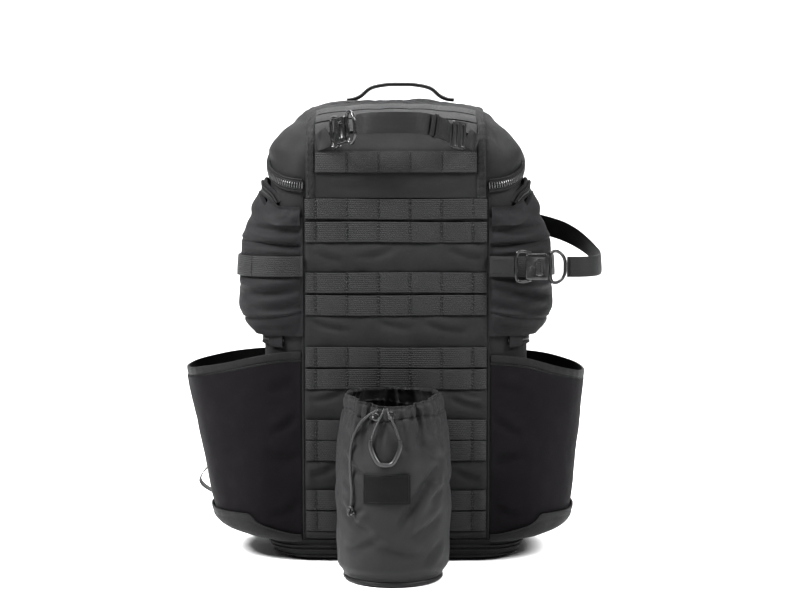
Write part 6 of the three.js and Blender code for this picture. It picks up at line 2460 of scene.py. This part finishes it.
@dataclass
class Harness:
    """The plain padded back and the shoulder straps."""

    panel_half: float = 124.0
    panel_low: float = 24.0
    panel_high: float = 436.0
    panel_thick: float = 8.0
    pad_half: float = 112.0
    pad_low: float = 62.0
    pad_high: float = 392.0
    width: float = 62.0
    thick: float = 11.0
    web: float = 22.2
    route: list = field(default_factory=lambda: [
        (48, 14.8, 0.7773), (48, 15, 0.8242), (49, 22, 0.8633), (52, 41, 0.877),
        (57, 57, 0.8359), (66, 66, 0.7188), (80, 66, 0.6055), (92, 60, 0.498),
        (100, 50, 0.4004), (104, 40, 0.3379),
    ])
    right: list = field(default_factory=lambda: [
        (108, 34, 0.2383), (112, 25, 0.1719), (111, 13, 0.1094), (108, 9.6, 0.0703),
    ])
    left: list = field(default_factory=lambda: [
        (115, 38, 0.252), (148, 34, 0.2148), (196, 25, 0.1758), (227, 19, 0.1445),
        (236.5, 15, 0.1133), (223, 12, 0.0898), (176, 10, 0.0801), (140, 9.6, 0.0781),
        (108, 9.6, 0.0781),
    ])

    def place(self, x: float, off: float, at: float) -> Array:
        """A place by its distance from the middle, stand-off and share of the height."""
        return np.array([x, SHELL.back + off, at * SHELL.height])

    def panel(self) -> None:
        """Builds the stiff back panel with its rounded edges."""
        middle = (self.panel_low + self.panel_high) / 2
        body = plate("back_board", self.panel_half, (self.panel_high - self.panel_low) / 2,
                     self.panel_thick / 2, 30, 2.4)
        placed(body, np.eye(3), (0, SHELL.back + GAP + self.panel_thick / 2, middle))
        dress(body, SHELL_NYLON, "back_panel", padding=0.8)

    def pad(self) -> None:
        """Builds the padded back, in two columns of quilted cells."""
        x, z = np.meshgrid(np.linspace(self.pad_half, -self.pad_half, 110),
                           np.linspace(self.pad_low, self.pad_high, 150))
        u = (self.pad_half - x) / (2 * self.pad_half)
        v = (z - self.pad_low) / (self.pad_high - self.pad_low)
        rim = hem_in(0.1, u, v)
        aside = smooth(9, 23.4, np.abs(x))
        swell = 2 + 10 * rim * aside
        groove = sum(bump(self.pad_low + k * 82.5, 5.0, z) for k in (1, 2, 3))
        swell = swell - 4.2 * groove * hem_in(0.08, u) * aside
        swell = swell + 0.5 * ripple(stacked(x, 0, z), 30, 1.9) * rim
        inner = stacked(x, SHELL.back + 2 * GAP + self.panel_thick, z)
        outer = inner + stacked(0, swell, 0)
        dress(wall("back_cushion", outer, inner), PADDING, "back_pad", padding=0.75)

    def shoulder(self, side: Side) -> None:
        """Builds a shoulder pad, its lock and the webbing below it.

        Args:
            side: the side it is on.
        """
        line = curve_points([self.place(*p) for p in self.route], 110)
        run = directions(line)
        looks = np.stack([0 * run[:, 0], run[:, 2], -run[:, 1]], axis=-1)
        across = np.linspace(0, 1, 111)
        thick = self.thick * (0.55 + 0.45 * hem_in(0.08, across))
        wide = self.width * (1 - 0.12 * smooth(0.93, 1, across))
        rings, shares = strap_rings(line, looks, wide, thick, edge=0.3, detail=20)
        pad = skin(f"shoulder_cushion_{side.word}", mirrored(rings, side), shares=shares)
        dress(pad, PADDING, f"shoulder_pad_{side.word}", padding=0.7)
        end = line[-1]
        lock = np.array([end[0] + 1, end[1] - 1.8, end[2] - 1.7 - 11])
        ladder_lock(f"harness_lock_{side.word}", rotation(0.2, math.pi / 2, 0, "XYZ"),
                    lock * [side.value, 1, 1], f"ladder_lock_{side.word}")
        below, route, steps = (2, self.right, 80) if side is Side.RIGHT else (6, self.left, 160)
        start = np.array([lock[0] + 0.5, lock[1] - 1, lock[2] - 11 - below])
        web = curve_points([start, *(self.place(*p) for p in route)], steps)
        run = directions(web)
        share = np.linspace(0, 1, len(web))
        twist = smooth(0.12, 0.34, share) * (1 - smooth(0.72, 0.95, share)) * (side is Side.LEFT)
        looks = np.stack([-run[:, 2] * twist, 1 - twist, run[:, 0] * twist], axis=-1)
        strap(f"lower_band_{side.word}", mirrored(web, side), mirrored(looks, side), self.web,
              1.6, STRAP, f"shoulder_webbing_{side.word}")

    def build(self) -> None:
        """Builds the whole back."""
        self.panel()
        self.pad()
        for side in Side:
            self.shoulder(side)


# ---- the studio ----------------------------------------------------------------------


@dataclass
class Studio:
    """The pale floor and backdrop, the soft lights and the camera."""

    lens: float = 84.6
    camera_at: tuple[float, float, float] = (0.0045, -2.150, 0.455)
    tilt: float = math.radians(4.56)

    def camera(self) -> None:
        """Places the camera at the photograph's angle."""
        data = bpy.data.cameras.new("camera")
        data.lens = self.lens
        data.sensor_width = 36
        data.clip_end = 50
        holder = linked("camera", data)
        holder.location = self.camera_at
        holder.rotation_euler = (math.pi / 2 - self.tilt, 0, 0)
        bpy.context.scene.camera = holder

    def floor(self) -> None:
        """Builds the plain floor that turns up into a backdrop."""
        bend = np.linspace(0.1, 1.57, 14)
        y = np.concatenate([np.linspace(-2.8, 2.0, 6), 2.0 + 1.2 * np.sin(bend)])
        z = np.concatenate([np.zeros(6), 1.2 - 1.2 * np.cos(bend)])
        y, z = np.append(y, y[-1]), np.append(z, 4.2)
        points = [(x, a, b) for a, b in zip(y, z) for x in (-2.4, 2.4)]
        faces = [(2 * i, 2 * i + 1, 2 * i + 3, 2 * i + 2) for i in range(len(y) - 1)]
        mesh = bpy.data.meshes.new("backdrop")
        mesh.from_pydata(points, [], faces)
        mesh.polygons.foreach_set("use_smooth", [True] * len(faces))
        floor = linked("backdrop", mesh)
        pale = bpy.data.materials.new("backdrop")
        pale.use_nodes = True
        shader = pale.node_tree.nodes["Principled BSDF"]
        shader.inputs["Base Color"].default_value = (0.86, 0.86, 0.86, 1)
        shader.inputs["Roughness"].default_value = 0.9
        mesh.materials.append(pale)

    def light(self, name: str, at: Sequence[float], look: Sequence[float], size: float,
              power: float) -> None:
        """Adds a large soft light.

        Args:
            name: its name.
            at: where it is.
            look: the point it shines at.
            size: its side.
            power: its power in watts.
        """
        data = bpy.data.lights.new(name, "AREA")
        data.shape = "RECTANGLE"
        data.size = size
        data.size_y = size
        data.energy = power
        holder = linked(name, data)
        holder.location = at
        way = Vector(look) - Vector(at)
        holder.rotation_euler = way.to_track_quat("-Z", "Y").to_euler()

    def build(self) -> None:
        """Builds the floor and the lights."""
        self.floor()
        world = bpy.data.worlds.new("studio")
        world.use_nodes = True
        s = NodeSketch(world.node_tree)
        soft = world.node_tree.nodes["Background"]
        soft.inputs["Color"].default_value = (1, 1, 1, 1)
        soft.inputs["Strength"].default_value = 0.15
        seen = s.add("ShaderNodeBackground", inputs={"Strength": 1.0})
        seen.inputs["Color"].default_value = (1, 1, 1, 1)
        both = s.add("ShaderNodeMixShader", inputs={
            0: s.add("ShaderNodeLightPath").outputs["Is Camera Ray"], 1: soft.outputs[0],
            2: seen.outputs[0]})
        s.feed(world.node_tree.nodes["World Output"].inputs["Surface"], both.outputs[0])
        bpy.context.scene.world = world
        middle = (0, 0, 0.28)
        self.light("key", (-1.8, -0.9, 2.2), middle, 0.9, 190)
        self.light("fill", (1.9, -0.8, 1.9), middle, 0.9, 110)
        self.light("front", (0.1, -2.5, 2.6), middle, 0.9, 40)
        self.light("over", (0.0, 0.9, 2.6), middle, 1.6, 60)
        self.light("crown", (-1.3, -0.5, 2.7), (-0.15, 0.0, 0.45), 0.5, 45)
        bpy.context.scene.view_settings.view_transform = "Standard"
        bpy.context.scene.view_settings.look = "Medium High Contrast"


def main() -> None:
    """Builds the bag piece by piece, then its studio."""
    logging.basicConfig(level=logging.INFO, format="%(message)s")
    cup = DrawstringCup()
    cords = CupCords(cup)
    cords.tail()
    cords.hook_loop()
    studio = Studio()
    studio.camera()
    shell = PaddedShell()
    shell.tub()
    shell.lid()
    shell.seam_piping()
    LidZip().build()
    front = FrontPanel()
    front.cloth()
    front.webbing()
    over = LidPanel()
    over.cloth()
    over.webbing()
    for side in Side:
        SideDoor(side).build()
    SidePocket(Side.LEFT, 91, 60, 235, 210).build()
    SidePocket(Side.RIGHT, 67, 52, 231, 207).build()
    cup.build()
    SideStrap().build()
    TopStrap().build()
    Handle().build()
    Harness().build()
    studio.build()


if __name__ == "__main__":
    main()
